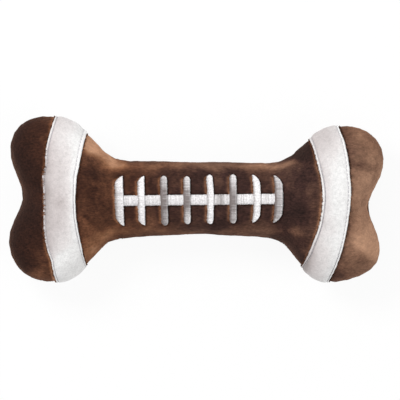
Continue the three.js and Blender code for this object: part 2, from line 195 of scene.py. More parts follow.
# The seam's level lies between the two panels
SEAM = (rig.box("front_panel")[0].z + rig.box("back_panel")[1].z) / 2

# Working sizes
HAIR = 0.01 * MM
TINY = 1e-12
FAR = 200 * MM
FLOOR_GAP = 0.02 * MM


def coords(mesh, what="co"):
    found = np.zeros(len(mesh.vertices) * 3)
    mesh.vertices.foreach_get(what, found)
    return found.reshape(-1, 3)


def normals(mesh):
    return coords(mesh, "normal")


def set_coords(mesh, points):
    mesh.vertices.foreach_set("co", np.asarray(points, dtype=np.float32).ravel())
    mesh.update()


def set_attribute(mesh, name, values):
    layer = mesh.attributes.get(name) or mesh.attributes.new(name, "FLOAT", "POINT")
    layer.data.foreach_set("value", np.asarray(values, dtype=np.float32))


def shade_smooth(mesh):
    mesh.polygons.foreach_set("use_smooth", [True] * len(mesh.polygons))
    mesh.update()


def bell(distance, reach):
    """1 at no distance, falling softly to nearly 0 at twice the reach."""
    return np.exp(-((distance / reach) ** 2))


def fall_off(outside, reach):
    """1 inside something, falling softly with the distance outside it."""
    return bell(np.maximum(outside, 0), reach)


def smooth_step(low, high, values):
    share = np.clip((values - low) / (high - low), 0, 1)
    return share * share * (3 - 2 * share)


def unit(vectors):
    """The directions of vectors."""
    return vectors / np.maximum(np.linalg.norm(vectors, axis=-1, keepdims=True), TINY)


def left_of(run):
    """The direction in plan to the left of another."""
    return np.array([-run[1], run[0]])


def ripple(points, size, seed):
    """Smooth noise from -1 to 1 at each point, with swells of about that size."""
    shift = Vector((seed * 7.31, seed * 3.17, seed * 5.73))
    return np.array([noise.noise(Vector(point) / size + shift) for point in points])


def ripples(points, layers, seed):
    """Layers of smooth noise on each other, each one given by its size and depth."""
    return sum(depth * ripple(points, size, seed + i) for i, (size, depth) in enumerate(layers))


def at_height(pairs, y):
    """A value given in mm at some heights in plan, read between them."""
    heights, values = zip(*pairs)
    return np.interp(y / MM, heights, values) * MM


def share_at(pairs, y):
    return at_height(pairs, y) / MM


def path_run(path):
    """How far along a path each of its points lies."""
    return np.concatenate([[0], np.cumsum(np.linalg.norm(np.diff(path, axis=0), axis=1))])


def read_at(values, run, places):
    """Points or directions given along a run, read at one place or more."""
    return np.stack([np.interp(places, run, values[:, axis]) for axis in range(3)], axis=-1)


def resampled(path, count):
    """A path as a given number of points at even spacing."""
    run = path_run(path)
    return read_at(path, run, np.linspace(0, run[-1], count))


@contextmanager
def edited(mesh, into=None):
    """A mesh opened as a bmesh, and written back to it, or into another mesh, when the work is done."""
    body = bmesh.new()
    body.from_mesh(mesh)
    yield body
    body.to_mesh(into or mesh)
    body.free()


def new_object(name, mesh):
    found = bpy.data.objects.new(name, mesh)
    scene.collection.objects.link(found)
    return found


def evaluated(obj):
    """The object's mesh with its modifiers applied."""
    graph = bpy.context.evaluated_depsgraph_get()
    return bpy.data.meshes.new_from_object(obj.evaluated_get(graph), depsgraph=graph)


def with_modifiers(mesh, *steps):
    """A new mesh: the given one after modifiers, each written as (kind, settings)."""
    obj = new_object("work", mesh)
    for kind, settings in steps:
        modifier = obj.modifiers.new(kind.lower(), kind)
        for key, value in settings.items():
            setattr(modifier, key, value)
    result = evaluated(obj)
    bpy.data.objects.remove(obj)
    return result


def finished(name, mesh, material, slot, node=None):
    """Makes a piece of the toy from a mesh. It stands for the node."""
    obj = new_object(name, mesh)
    mesh.materials.clear()
    mesh.materials.append(material)
    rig.ride(obj, PLUSH_BODY)
    if node:
        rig.replaces(obj, node)
    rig.slot(obj, slot)
    return obj


# Stuffed body

PANEL_GAP = 0.35 * MM
VOXEL = 3 * MM
PIN_BAND = 2.2 * MM
SWELL_LIMIT = 4 * MM
SWELL_FRAMES = 20
START_THICKNESS = 0.97
WRINKLES = 0.3
RELAX_PASSES = 12
FINE_LEVELS = 1 if quick else 2
CLOTH = {
    "quality": 6,
    "mass": 0.3,
    "tension_stiffness": 20,
    "compression_stiffness": 8,
    "shear_stiffness": 6,
    "bending_stiffness": 0.6,
    "use_pressure": True,
    "uniform_pressure_force": 15,
    "vertex_group_mass": "seam",
    "shrink_min": -0.02,
}


def outer_cap(name, side):
    """The outer skin of a CAD panel: its faces that nothing of the panel covers."""
    mesh = bpy.data.meshes.new(name + "_cap")
    with edited(frame["nodes"][name].data, into=mesh) as cap:
        bmesh.ops.remove_doubles(cap, verts=cap.verts, dist=HAIR)
        tree = BVHTree.FromBMesh(cap)
        up = Vector((0, 0, side))
        starts = [(face, face.calc_center_median() + up * HAIR) for face in cap.faces]
        buried = [face for face, start in starts if tree.ray_cast(start, up)[0] is not None]
        bmesh.ops.delete(cap, geom=buried, context="FACES")
    return mesh


def closed_body():
    """Both outer skins as one closed surface of small, even faces."""
    mesh = bpy.data.meshes.new("body")
    with edited(outer_cap("front_panel", 1), into=mesh) as body:
        body.from_mesh(outer_cap("back_panel", -1))
        bmesh.ops.remove_doubles(body, verts=body.verts, dist=PANEL_GAP)
        bmesh.ops.recalc_face_normals(body, faces=body.faces)
    return with_modifiers(
        mesh,
        ("SUBSURF", {"levels": 2}),
        ("REMESH", {"mode": "VOXEL", "voxel_size": VOXEL, "use_smooth_shade": True}),
        ("SMOOTH", {"factor": 0.5, "iterations": 5}),
    )


def relaxed(mesh, values, passes):
    """Values at the corners, each averaged with its neighbours' again and again."""
    ends = np.zeros(len(mesh.edges) * 2, dtype=int)
    mesh.edges.foreach_get("vertices", ends)
    first, second = ends.reshape(-1, 2).T
    count = np.bincount(ends, minlength=len(values))[:, None]
    for _ in range(passes):
        total = np.zeros_like(values)
        np.add.at(total, first, values[second])
        np.add.at(total, second, values[first])
        values = total / count
    return values


def swollen(mesh):
    """Cloth held at the seam and pushed out by the stuffing."""
    obj = new_object("swelling", mesh)
    start = coords(mesh)
    start[:, 2] = SEAM + (start[:, 2] - SEAM) * START_THICKNESS
    set_coords(mesh, start)
    held = np.flatnonzero(np.abs(start[:, 2] - SEAM) < PIN_BAND)
    obj.vertex_groups.new(name="seam").add(held.tolist(), 1, "REPLACE")
    cloth = obj.modifiers.new("cloth", "CLOTH")
    for key, value in CLOTH.items():
        setattr(cloth.settings, key, value)
    cloth.settings.effector_weights.gravity = 0
    cloth.collision_settings.use_collision = False
    cloth.point_cache.frame_end = SWELL_FRAMES
    for number in range(1, SWELL_FRAMES + 1):
        scene.frame_set(number)
    after = coords(evaluated(obj))
    scene.frame_set(1)
    bpy.data.objects.remove(obj)
    moved = after - start
    length = np.linalg.norm(moved, axis=1, keepdims=True)
    moved *= np.minimum(1, SWELL_LIMIT / np.maximum(length, HAIR))
    moved = WRINKLES * moved + (1 - WRINKLES) * relaxed(mesh, moved, RELAX_PASSES)
    result = mesh.copy()
    set_coords(result, start + moved)
    return result


def cut_at_seam(body, side=1, **settings):
    """Cuts a body along the seam's level and gives what lies on the cut."""
    geometry = body.verts[:] + body.edges[:] + body.faces[:]
    return bmesh.ops.bisect_plane(
        body, geom=geometry, dist=HAIR, plane_co=(0, 0, SEAM), plane_no=(0, 0, side), **settings
    )["geom_cut"]


def rim_loop(body):
    """Cuts the body along the seam's level and gives the cut's corners in order."""
    after = {}
    for edge in (part for part in cut_at_seam(body) if isinstance(part, bmesh.types.BMEdge)):
        first, second = edge.verts
        after.setdefault(first, []).append(second)
        after.setdefault(second, []).append(first)
    start = max(after, key=lambda corner: corner.co.x)
    order = [start, after[start][0]]
    while True:
        ahead = [corner for corner in after[order[-1]] if corner is not order[-2]]
        if not ahead or ahead[0] is start:
            break
        order.append(ahead[0])
    return np.array([corner.co[:] for corner in order])


def blurred(values, reach):
    """A closed row of values, each averaged with its neighbours out to reach."""
    total = np.zeros_like(values)
    for shift in range(-reach, reach + 1):
        total += np.roll(values, shift, axis=0)
    return total / (2 * reach + 1)


BEND_REACH = 4 * MM


class Rim:
    """The seam's line: its corners, the run along it, and how it bends, in 1/m and outward."""

    def __init__(self, points):
        steps = np.linalg.norm(np.roll(points, -1, axis=0) - points, axis=1)
        self.points = points
        self.length = steps.sum()
        self.run = np.concatenate([[0], np.cumsum(steps)[:-1]])
        reach = int(BEND_REACH / steps.mean())
        ahead = np.roll(points, -reach, axis=0) - points
        behind = points - np.roll(points, reach, axis=0)
        area = np.sum((points * np.roll(points[:, [1, 0, 2]], -1, axis=0))[:, :2] * [1, -1])
        turn = np.arctan2(
            behind[:, 0] * ahead[:, 1] - behind[:, 1] * ahead[:, 0],
            behind[:, 0] * ahead[:, 0] + behind[:, 1] * ahead[:, 1],
        )
        self.bend = blurred(turn * np.sign(area), reach) / BEND_REACH
        along = unit(blurred(ahead + behind, 2))
        self.inward = np.stack([-along[:, 1], along[:, 0], 0 * along[:, 0]], axis=1) * np.sign(area)
        self.tree = KDTree(len(points))
        for index, point in enumerate(points):
            self.tree.insert(point, index)
        self.tree.balance()

    def nearest(self, points):
        """The index of the nearest corner to each point, and the distance to it."""
        found = [self.tree.find(point) for point in points]
        return np.array([f[1] for f in found]), np.array([f[2] for f in found])


# Swells of the stuffing, with size and depth, and how much of them is left at the seam
LUMPS = [(46 * MM, 0.7 * MM), (19 * MM, 0.4 * MM), (8 * MM, 0.14 * MM)]
SEAM_LUMPS = 0.45
SEAM_LUMPS_REACH = 6 * MM
# Gathers along the seam: how far in they reach, their spacing, depth and how far they stray. The short
# ones come where the seam bends outward, round the lobes, and the long ones where it bends inward.
GATHERS = [
    {"reach": 7 * MM, "step": 8.5 * MM, "depth": 0.5 * MM, "stray": 2.2, "way": 1, "bend": (-4, 12)},
    {"reach": 15 * MM, "step": 11 * MM, "depth": 0.7 * MM, "stray": 1.6, "way": -1, "bend": (4, 22)},
]
# The size of the swells in which they stray, and of the patches in which they are deep or shallow
GATHER_SWELLS = 14 * MM
GATHER_PATCHES = 18 * MM
# Soft creases of the laced face: from one place in plan to another, with half-width and depth, in mm
FOLDS = [
    ((-84, -14), (-71, -25), 2.2, 1.1),
    ((113, 25), (132, 20), 3.5, 1.0),
    ((131, -6), (114, -15), 3.2, 1.2),
    ((-131, 4), (-118, 10), 3.5, 0.8),
    ((84, 22), (72, 27), 3, 0.8),
    ((-86, 23), (-70, 22), 3.5, 0.8),
    ((76, -24), (88, -34), 3, 0.8),
]
# How far the lower edge lies out from the CAD's, along the toy, in mm. It fades in below the middle
# between two distances, which grow from the shaft to the lobes.
LOWER_EDGE = [
    (-140, 1), (-120, 1.2), (-98, 1.2), (-86, 0.2), (-78, -0.3), (-66, -0.3), (-55, 1.3), (-40, 0.7),
    (-24, 0), (7, -1.1), (20, -0.5), (36, 0.2), (52, 0.3), (66, 0), (90, 0.8), (104, 1.2), (112, 0.5),
    (120, -0.2), (136, -0.3),
]
SHAFT_TO_LOBE = (60, 90)
LOWER_FROM = (8, 28)
LOWER_FULL = (26, 58)
# The lowest cloth lies one strip's thickness above the floor
FLOOR_CLEAR = 1.7 * MM
FLOOR_SOFT = 0.5 * MM


def gathers(points, rim):
    """Depth of the small gathers along the seam."""
    index, away = rim.nearest(points)
    run, bend = rim.run[index], rim.bend[index]
    loops = np.stack([np.cos(run / rim.length * math.tau), np.sin(run / rim.length * math.tau)], axis=1)
    spread = np.concatenate([loops * rim.length / math.tau, points[:, 2:3] * 0.2], axis=1)
    warp = ripple(spread, GATHER_SWELLS, seed=3)
    strength = 0.65 + 0.6 * ripple(spread, GATHER_PATCHES, seed=5)
    total = np.zeros(len(points))
    for kind in GATHERS:
        wave = 0.5 + 0.5 * np.cos(math.tau * run / kind["step"] + kind["stray"] * warp)
        here = smooth_step(*kind["bend"], kind["way"] * bend)
        total += np.exp(-away / kind["reach"]) * here * kind["depth"] * wave
    return total * np.clip(strength, 0, 1.3)


def fold_depth(points):
    total = np.zeros(len(points))
    for first, last, half, depth in FOLDS:
        start = np.array(first) * MM
        run = np.array(last) * MM - start
        share = np.clip((points[:, :2] - start) @ run / (run @ run), 0, 1)
        away = np.linalg.norm(points[:, :2] - start - share[:, None] * run, axis=1)
        total += depth * MM * bell(away, half * MM) * (points[:, 2] > SEAM)
    return total


def lower_push(points):
    """How far the cloth near the lower edge is pushed down in plan."""
    places, pushes = zip(*LOWER_EDGE)
    push = np.interp(points[:, 0] / MM, places, pushes) * MM
    from_middle = np.abs(points[:, 0]) / MM
    low, high = (np.interp(from_middle, SHAFT_TO_LOBE, ends) * MM for ends in (LOWER_FROM, LOWER_FULL))
    return push * smooth_step(low, high, -points[:, 1])


def pressed(height):
    """Heights with the lowest cloth pressed flat."""
    above = height - FLOOR_CLEAR
    return FLOOR_CLEAR + (above + np.sqrt(above * above + FLOOR_SOFT * FLOOR_SOFT)) / 2


def shaped(mesh):
    """The swollen cloth, subdivided, with the stuffing's lumps, the seam's gathers and soft folds."""
    fine = with_modifiers(mesh, ("SUBSURF", {"levels": FINE_LEVELS}))
    with edited(fine) as body:
        rim = Rim(rim_loop(body))
    points = coords(fine)
    offset = ripples(points, LUMPS, seed=11)
    away = np.abs(points[:, 2] - SEAM)
    offset *= SEAM_LUMPS + (1 - SEAM_LUMPS) * smooth_step(0, SEAM_LUMPS_REACH, away)
    offset -= gathers(points, rim) + fold_depth(points)
    points += normals(fine) * offset[:, None]
    points[:, 1] -= lower_push(points)
    points[:, 2] = pressed(points[:, 2])
    set_coords(fine, points)
    rim.points[:, 1] -= lower_push(rim.points)
    return fine, rim


base = closed_body()
surface, rim = shaped(base if quick else swollen(base))
surface_points = coords(surface)
surface_tree = BVHTree.FromPolygons(
    [Vector(p) for p in surface_points], [tuple(face.vertices) for face in surface.polygons]
)


def over(place, side):
    """The place on the body straight above or below a point in plan, or None, and its normal."""
    return surface_tree.ray_cast(Vector((*place, SEAM + side * FAR)), Vector((0, 0, -side)))[:2]


def on_face(place):
    """The place on the laced face over a point in plan, and the direction out of the cloth."""
    return [np.array(found) for found in over(place, 1)]


# Where the strips lie

# The centre of each strip's bow in plan, its radius, the strip's width, the way it faces, and the painted
# light across its pile: how much lighter it is at the left and how that rises to the right. Then, for
# each edge, lists of what holds at heights in plan: how far the hand-cut edge strays from the bow, how far
# in the stitching runs, how deep its crease is and how dark the painted shadow in it, how much the painted
# light and shade lighten or darken the pile near the edge, and how strong the painted glow on the velour
# beside it is.
BANDS = {
    "left": {
        "centre": (87.8 * MM, 1.05 * MM),
        "bow": 190 * MM,
        "width": 24 * MM,
        "outward": -1,
        "painted_light_slope": (-0.22, 0.42),
        "inner": {
            "stray": [
                (-60, 0.2), (-50, -0.2), (-44, -0.65), (-37, -1.1), (-26, -1.05), (-16, -0.6),
                (-5, -0.45), (5, -0.8), (16, -0.95), (26, -1.7), (36, -1.9), (44, -1.8), (50, -0.8),
            ],
            "inset": [(-50, 1.1), (-44, 1.3), (-26, 1.6), (-5, 1.6), (5, 1.9), (26, 2.4), (40, 2.6)],
            "crease": [
                (-50, 0.1), (-44, 0.15), (-37, 0.5), (-16, 0.65), (-5, 0.75), (5, 0.6), (16, 0.35),
                (34, 0),
            ],
            "tone": [(-50, 0.1), (-20, 0.3), (20, 0.35), (50, 0.1)],
            "painted_glow": [(-60, 0.45), (-46, 0.4), (-34, 0), (30, 0), (42, 0.4), (60, 0.45)],
        },
        "outer": {
            "stray": [
                (-60, 0.6), (-54, 0.2), (-46, -0.6), (-37, 0.6), (-26, 0.9), (-16, 0.1), (-5, -0.8),
                (5, -0.8), (16, 0.9), (26, -0.2), (36, 1), (47, 0.8), (56, 0.5),
            ],
            "inset": [(-50, 1.6), (0, 1.5), (50, 1.9)],
            "crease": [(-50, 0.35), (-10, 0.2), (14, 0.2), (40, 0.35)],
            "tone": [
                (-54, -0.15), (-37, -0.35), (-20, -0.32), (0, -0.46), (20, -0.42), (36, -0.32),
                (52, -0.1),
            ],
            "painted_glow": [
                (-54, 0.95), (-46, 0.85), (-37, 0.6), (-28, 0.2), (0, 0.2), (26, 0.35), (36, 0.1),
                (56, 0.4),
            ],
        },
    },
    "right": {
        "centre": (-18.2 * MM, 2.5 * MM),
        "bow": 123 * MM,
        "width": 21.5 * MM,
        "outward": 1,
        "painted_light_slope": (-0.1, 0.3),
        "inner": {
            "stray": [
                (-58, -1.2), (-46, -1.8), (-33, -1.8), (-20, -0.6), (6, -0.4), (14, -0.8), (22, -1.5),
                (32, -1.7), (44, -1.2), (54, -0.6),
            ],
            "inset": [(-50, 1.4), (-42, 2.3), (-20, 2.3), (0, 2.5), (20, 2.1), (46, 1.9)],
            "crease": [(-46, 0.45), (-30, 0.6), (0, 0.75), (20, 0.5), (46, 0.35)],
            "tone": [(-52, -0.5), (-42, -0.45), (-32, -0.3), (0, -0.2), (20, -0.22), (44, -0.2)],
            "painted_glow": [
                (-50, 0.4), (-34, 0.4), (-20, 0.75), (-10, 0.75), (0, 0.55), (10, 0.4), (25, 0.5),
                (40, 0.6),
            ],
        },
        "outer": {
            "stray": [
                (-58, -0.3), (-43, -0.4), (-34, -0.8), (-23, -0.95), (-13, -1.3), (-1, -0.75),
                (10, -0.3), (17, -0.3), (29, 0.4), (36, 0.6), (43, 0.95), (50, 0.75), (56, 0.2),
            ],
            "inset": [(-52, 1.3), (-34, 1.5), (-20, 2), (20, 2.3), (44, 1.6)],
            "crease": [(-52, 0.6), (-42, 0.5), (-30, 0.15), (0, 0), (30, 0), (42, 0.15), (52, 0.15)],
            "tone": [(-50, 0.1), (0, 0.25), (50, 0.1)],
            "painted_glow": [(-60, 0), (60, 0)],
        },
    },
}
# Both strips lie at least this far from the toy's middle
BANDS_FROM = 30 * MM


def at_edges(band, what, y):
    """What holds for a strip's inner and outer edges at heights in plan."""
    return [at_height(band[edge][what], y) for edge in ("inner", "outer")]


def across_band(points, end):
    """How far each point in plan lies past the strip's inner edge, as if the strip were even."""
    band = BANDS[end]
    inner, outer = at_edges(band, "stray", points[:, 1])
    past = np.linalg.norm(points[:, :2] - np.array(band["centre"]), axis=1)
    past = past - (band["bow"] - band["width"] / 2) - inner
    return past * band["width"] / (band["width"] + outer - inner)


def band_side(points, end):
    return points[:, 0] * BANDS[end]["outward"] > BANDS_FROM


# Where the laces lie

# Each cross lace, in mm and degrees. Slant names the ends' cut side, cuts how long the lower and upper
# ends' cut or rounding is, short how far the ends stop short of LACE_LENGTH, aside and bow how far the
# lace lies to the right in all and at its middle only, tones how light its white thread is painted low,
# in the middle and high: a painted sheen and shade of the satin.
Lace = namedtuple("Lace", "wide slant cuts short lean aside bow tones")
LACES = [
    Lace(6.4, 1, (7.5, 5.2), (0, 0.3), 0.9, 1.15, 0, (0.84, 0.8, 0.84)),
    Lace(5.3, 1, (4.6, 5.3), (0.2, 0.4), 0.6, 0.45, 0, (1, 1, 1)),
    Lace(5.4, 0, (3, 3), (0, 0.5), 1.1, 0.4, 0, (0.28, 0.08, 0.5)),
    Lace(5.3, 0, (3, 3), (0.7, 0.9), 0.4, 0.35, 0, (0.76, 0.11, 0.67)),
    Lace(5.0, 0, (3, 3), (0.6, 0), 0.2, 0.15, 0.7, (1, 1, 1)),
    Lace(5.4, 0, (3, 3), (0.8, 0), -0.5, 0.4, 0.3, (0.42, 0.1, 0.7)),
    Lace(5.5, -1, (6, 6.2), (1.4, 0.6), -0.5, 0.4, 1.1, (1, 1, 1)),
    Lace(6.2, -1, (7, 7.2), (1, 1.3), -1.5, -0.55, 1.2, (0.44, 0.36, 0.49)),
]
LACE_COUNT = len(LACES)
LACE_CENTRE = np.array([1.229, -0.71]) * MM
LACE_PITCH = 17.05 * MM
LACE_LENGTH = 36.8 * MM
LACE_TILT = math.radians(0.7)
ALONG = np.array([math.cos(LACE_TILT), math.sin(LACE_TILT)])
ACROSS = left_of(ALONG)
SPINE_REACH = LACE_PITCH * (LACE_COUNT - 1) / 2
SPINE_WIDTH = 7.8 * MM
# A slanted end's width at its tip, as a share, and how round its cut is
BLUNT = 0.16
CUT_CURVE = 2.1


def lace_length(lace):
    return LACE_LENGTH - sum(lace.short) * MM


def lace_line(index):
    """The lower end of a cross lace in plan, and its run."""
    lace = LACES[index]
    lean = LACE_TILT + math.radians(lace.lean)
    run = np.array([-math.sin(lean), math.cos(lean)])
    middle = LACE_CENTRE + ALONG * (LACE_PITCH * (index - (LACE_COUNT - 1) / 2) + lace.aside * MM)
    return middle - run * (LACE_LENGTH / 2 - lace.short[0] * MM), run


def by_spine(points):
    """How far points lie along the spine and across it, from the laces' centre."""
    offset = points[:, :2] - LACE_CENTRE
    return np.abs(offset @ ALONG), np.abs(offset @ ACROSS)


def lace_outline(lace, along):
    """A cross lace's half width at places along it, and how far its middle lies to the left."""
    half = lace.wide * MM / 2
    length = lace_length(lace)
    low, high = lace.cuts
    share = np.clip(np.minimum(along / low, (length - along) / high) / MM, 0, 1)
    if lace.slant:
        width = half * (BLUNT + (1 - BLUNT) * (1 - (1 - share) ** CUT_CURVE))
    else:
        width = half * np.sqrt(1 - (1 - share) ** 2)
    bow = lace.bow * MM * np.sin(math.pi * np.clip(along / length, 0, 1))
    return width, -lace.slant * (half - width) - bow


def by_lace(points, index):
    """How far points lie along a cross lace, to the left of its middle, and beyond its sides."""
    start, run = lace_line(index)
    offset = points[:, :2] - start
    along = offset @ run
    width, middle = lace_outline(LACES[index], along)
    left = offset @ left_of(run) - middle
    return along, left, np.abs(left) - width


def box_outside(ahead, beside):
    """The distance outside a box, from how far a point is beyond its ends and its sides."""
    corner = np.hypot(np.maximum(ahead, 0), np.maximum(beside, 0))
    return corner + np.minimum(np.maximum(ahead, beside), 0)


# How far the painted glow on the velour beside a strip or lace reaches, and how far in from a lace's ends it starts
GLOW_REACH = 1.5 * MM
GLOW_ENDS = (-0.3 * MM, 2 * MM)
GLOW_UNDER = 0.5 * MM
PAINTED_LACE_GLOW = 0.6


def lace_spot(points):
    """How far points lie outside the nearest lace in plan, and how near they are to a lace's left."""
    along, across = by_spine(points)
    nearest = box_outside(along - SPINE_REACH, across - SPINE_WIDTH / 2)
    left = np.zeros(len(points))
    for index, lace in enumerate(LACES):
        along, aside, beyond = by_lace(points, index)
        from_end = np.minimum(along, lace_length(lace) - along)
        outside = box_outside(-from_end, beyond)
        nearest = np.minimum(nearest, outside)
        beside = (aside > 0) * smooth_step(*GLOW_ENDS, from_end)
        left = np.maximum(left, fall_off(outside, GLOW_REACH) * beside)
    return nearest, left


def painted_glow_of(points):
    """The painted glow on the pile of the laced face where it runs on to a lace or a strip."""
    painted_glow = PAINTED_LACE_GLOW * lace_spot(points)[1]
    for end, band in BANDS.items():
        past = across_band(points, end)
        for away, edge in ((-past, "inner"), (past - band["width"], "outer")):
            beside = fall_off(away, GLOW_REACH) * (away > -GLOW_UNDER)
            painted_glow += band_side(points, end) * beside * share_at(band[edge]["painted_glow"], points[:, 1])
    return painted_glow * (points[:, 2] > SEAM)


# Velour skin

GROOVE_DEPTH = 1.3 * MM
GROOVE_HALF = 1.2 * MM
PILE = [(2.1 * MM, 0.1 * MM), (5 * MM, 0.1 * MM)]
# The velour is pressed in beside the strips, less so near the seam, and under them
EDGE_DIP = 0.6 * MM
EDGE_DIP_FADE = 1.3 * MM
SEAM_REACH = 4.5 * MM
SEAM_EASE = 0.8
UNDER_DIP = 0.7 * MM
UNDER_DIP_FADE = 0.8 * MM
LACE_DIP = 0.6 * MM
LACE_DIP_REACH = 1.2 * MM
# The seam allowance turned in, in mm, and its rise
ALLOWANCE = 4
ALLOWANCE_RISE = 0.3 * MM


def band_dip(points):
    """How far the strips' stitching presses the velour in, beside and under them."""
    dip = np.zeros(len(points))
    level = bell(points[:, 2] - SEAM, SEAM_REACH)
    for end, band in BANDS.items():
        past = across_band(points, end)
        outside = np.maximum(-past, past - band["width"])
        beside = EDGE_DIP * (1 - SEAM_EASE * level) * np.exp(-np.maximum(outside, 0) / EDGE_DIP_FADE)
        under = UNDER_DIP * smooth_step(0, UNDER_DIP_FADE, -outside)
        dip += np.where(band_side(points, end), np.maximum(beside * (outside > 0), under), 0)
    return dip


def lace_dip(points):
    """How far the embroidery pulls the velour in, round and under the laces."""
    return LACE_DIP * fall_off(lace_spot(points)[0], LACE_DIP_REACH) * (points[:, 2] > SEAM)


def velour_mesh():
    mesh = surface.copy()
    points = coords(mesh)
    offset = ripples(points, PILE, seed=31) - GROOVE_DEPTH * bell(points[:, 2] - SEAM, GROOVE_HALF)
    offset -= band_dip(points) + lace_dip(points)
    set_coords(mesh, points + normals(mesh) * offset[:, None])
    return mesh


# The pile's lightness takes a painted sheen that leans with the cloth's facing, and is mottled, more so on the back
NAP_BASE = 0.2
NAP_PAINTED_SHEEN = 0.3
NAP_MOTTLE = [(24 * MM, 0.1), (9 * MM, 0.09), (3.2 * MM, 0.06)]
NAP_BACK = [(42 * MM, 0.35), (15 * MM, 0.18)]
BACK_LIFT = 0.1
BACK_TO_FRONT = (-9 * MM, 7 * MM)
# A painted shadow on the velour beside the laces, away from their left sides: its reach and depth
LACE_SIDE = 0.9 * MM
PAINTED_LACE_SHADOW = 0.2
OVAL_STRAY = 2.6 * MM
OVAL_SWELLS = 12 * MM
# The dye is warmer at the left, and the painted glow is warm too
WARM_BASE = 0.12
WARM_RISE = 0.8
WARM_TO = 10 * MM
WARM_FADE = 70 * MM
WARM_MOTTLE = 0.25
WARM_PATCHES = 30 * MM
PAINTED_GLOW_WARMTH = 1.2
# Lighter or darker patches of the pile of the laced face, partly brushed nap and partly painted light
# and shade: soft ovals, each with its place in plan, half sizes and turn, in mm and degrees, and how much
# lighter the pile is in it
BRUSHED_AND_PAINTED_LIGHT = [
    (-116, -58, 15, 6, 0, 0.31), (-112, 57, 12, 5, 0, 0.1), (-78, 42, 7, 8, -35, 0.72),
    (-68, 32, 13, 5, -38, 0.5), (-56, 25, 9, 3, -10, 0.25), (-77, -37, 13, 7, 40, 0.24),
    (-62, -25, 12, 5, 15, 0.34), (-84, -22, 4, 5, 0, 0.12), (3, 25.4, 64, 3.4, 0, 0.38),
    (54, 24.6, 20, 4, -3, 0.36), (-34, -20, 20, 6, 0, 0.19), (3, -25, 62, 3, 0, 0.2),
    (49, -22.5, 22, 6, 0, 0.22), (80, 39, 8, 7, 0, -0.13), (76, -12, 9, 7, 0, -0.1),
    (74, 12, 9, 10, 0, 0.07), (71, 27, 9, 2.6, -8, 0.22), (74, -25, 6, 4.5, 0, 0.26),
    (122, 0, 26, 80, 0, 0.5), (126, -31, 10, 9, 0, 0.26), (133, -41, 6, 9, 0, 0.25),
    (111, 36, 5, 14, 0, -0.12), (119, 48, 7, 6, 0, 0.1), (122, -4, 12, 14, 0, -0.14),
    (68, 18, 8, 8, 0, 0.1), (77, -38, 8, 8, 0, 0.19), (-113, -47, 10, 8, 0, 0.12),
    (-79, 18, 8, 9, 0, -0.2), (121, 24.6, 12, 3, -12, -0.22), (116, -12, 8, 4, 35, -0.14),
    (114, -47, 6, 6, 0, 0.02), (126, -47, 5, 4, 0, -0.16), (-120, 1, 9, 9, 0, 0.08),
    (33, -12, 9, 5, 0, -0.06), (-124, 36, 9, 9, 0, -0.06),
]
# Painted light and shade on the white pile, in soft ovals as on the velour
WHITE_PAINTED_LIGHT = [
    (-101, -2, 13, 38, 0, -0.36), (-101, -2, 5, 6, 0, -0.12), (-93, 47, 14, 15, 0, 0.06),
    (-98, -52, 16, 14, 0, 0.75), (98, 46, 14, 14, 0, -0.42), (104, 10, 10, 22, 0, 0.12),
    (92, -50, 13, 13, 0, -0.14), (82, -46, 9, 13, 0, -0.28),
]


def oval_sum(points, ovals):
    """How much lighter soft ovals make each point. Their rims stray a little."""
    total = np.zeros(len(points))
    stray = np.stack([ripple(points, OVAL_SWELLS, seed) for seed in (61, 62)], axis=1) * OVAL_STRAY
    places = points[:, :2] + stray
    for x, y, half_long, half_wide, turn, lighter in ovals:
        offset = places / MM - np.array((x, y))
        run = np.array([math.cos(math.radians(turn)), math.sin(math.radians(turn))])
        along, across = offset @ run / half_long, offset @ left_of(run) / half_wide
        total += lighter * np.exp(-(along**2) - across**2)
    return total


def nap_of(points, facing):
    """The pile's lightness from 0 to 1: mottle, a painted sheen from dark, seen down into the pile, to light,
    seen along it, as the pile leans towards +X, painted light and shade in patches, and painted glow and
    shadow beside laces and strips.
    """
    # A painted sheen: cloth that faces +X is painted lighter
    nap = NAP_BASE + NAP_PAINTED_SHEEN * facing[:, 0] + ripples(points, NAP_MOTTLE, seed=51)
    back = BACK_LIFT + ripples(points, NAP_BACK, seed=56)
    front = smooth_step(*BACK_TO_FRONT, points[:, 2] - SEAM)
    # Painted light and shade in patches on the front, mottle on the back
    nap += front * oval_sum(points, BRUSHED_AND_PAINTED_LIGHT) + (1 - front) * back
    outside, left = lace_spot(points)
    # Painted shadow beside the laces, and painted glow beside laces and strips
    near = fall_off(outside, LACE_SIDE) * (points[:, 2] > SEAM) * (1 - left)
    return np.clip(nap + painted_glow_of(points) - PAINTED_LACE_SHADOW * near, 0, 1)


def warmth_of(points):
    """The dye's warmth, which fades along the toy, with the painted glow's warmth added."""
    warmth = WARM_BASE + WARM_RISE * smooth_step(0, 1, (WARM_TO - points[:, 0]) / WARM_FADE)
    warmth = warmth + WARM_MOTTLE * ripple(points, WARM_PATCHES, seed=64) + PAINTED_GLOW_WARMTH * painted_glow_of(points)
    return np.clip(warmth, 0, 1)


def half_skin(mesh, side, name):
    """One panel: its half of the skin, with a seam allowance turned in along the seam."""
    half = bpy.data.meshes.new(name)
    with edited(mesh, into=half) as skin:
        cut_at_seam(skin, side, clear_inner=True)
        edge = [e for e in skin.edges if e.is_boundary]
        turned = bmesh.ops.extrude_edge_only(skin, edges=edge)["geom"]
        corners = [part for part in turned if isinstance(part, bmesh.types.BMVert)]
        index, _ = rim.nearest([corner.co for corner in corners])
        for corner, at in zip(corners, index):
            corner.co += Vector(rim.inward[at]) * ALLOWANCE * MM + Vector((0, 0, side * ALLOWANCE_RISE))
    shade_smooth(half)
    return half


# Materials

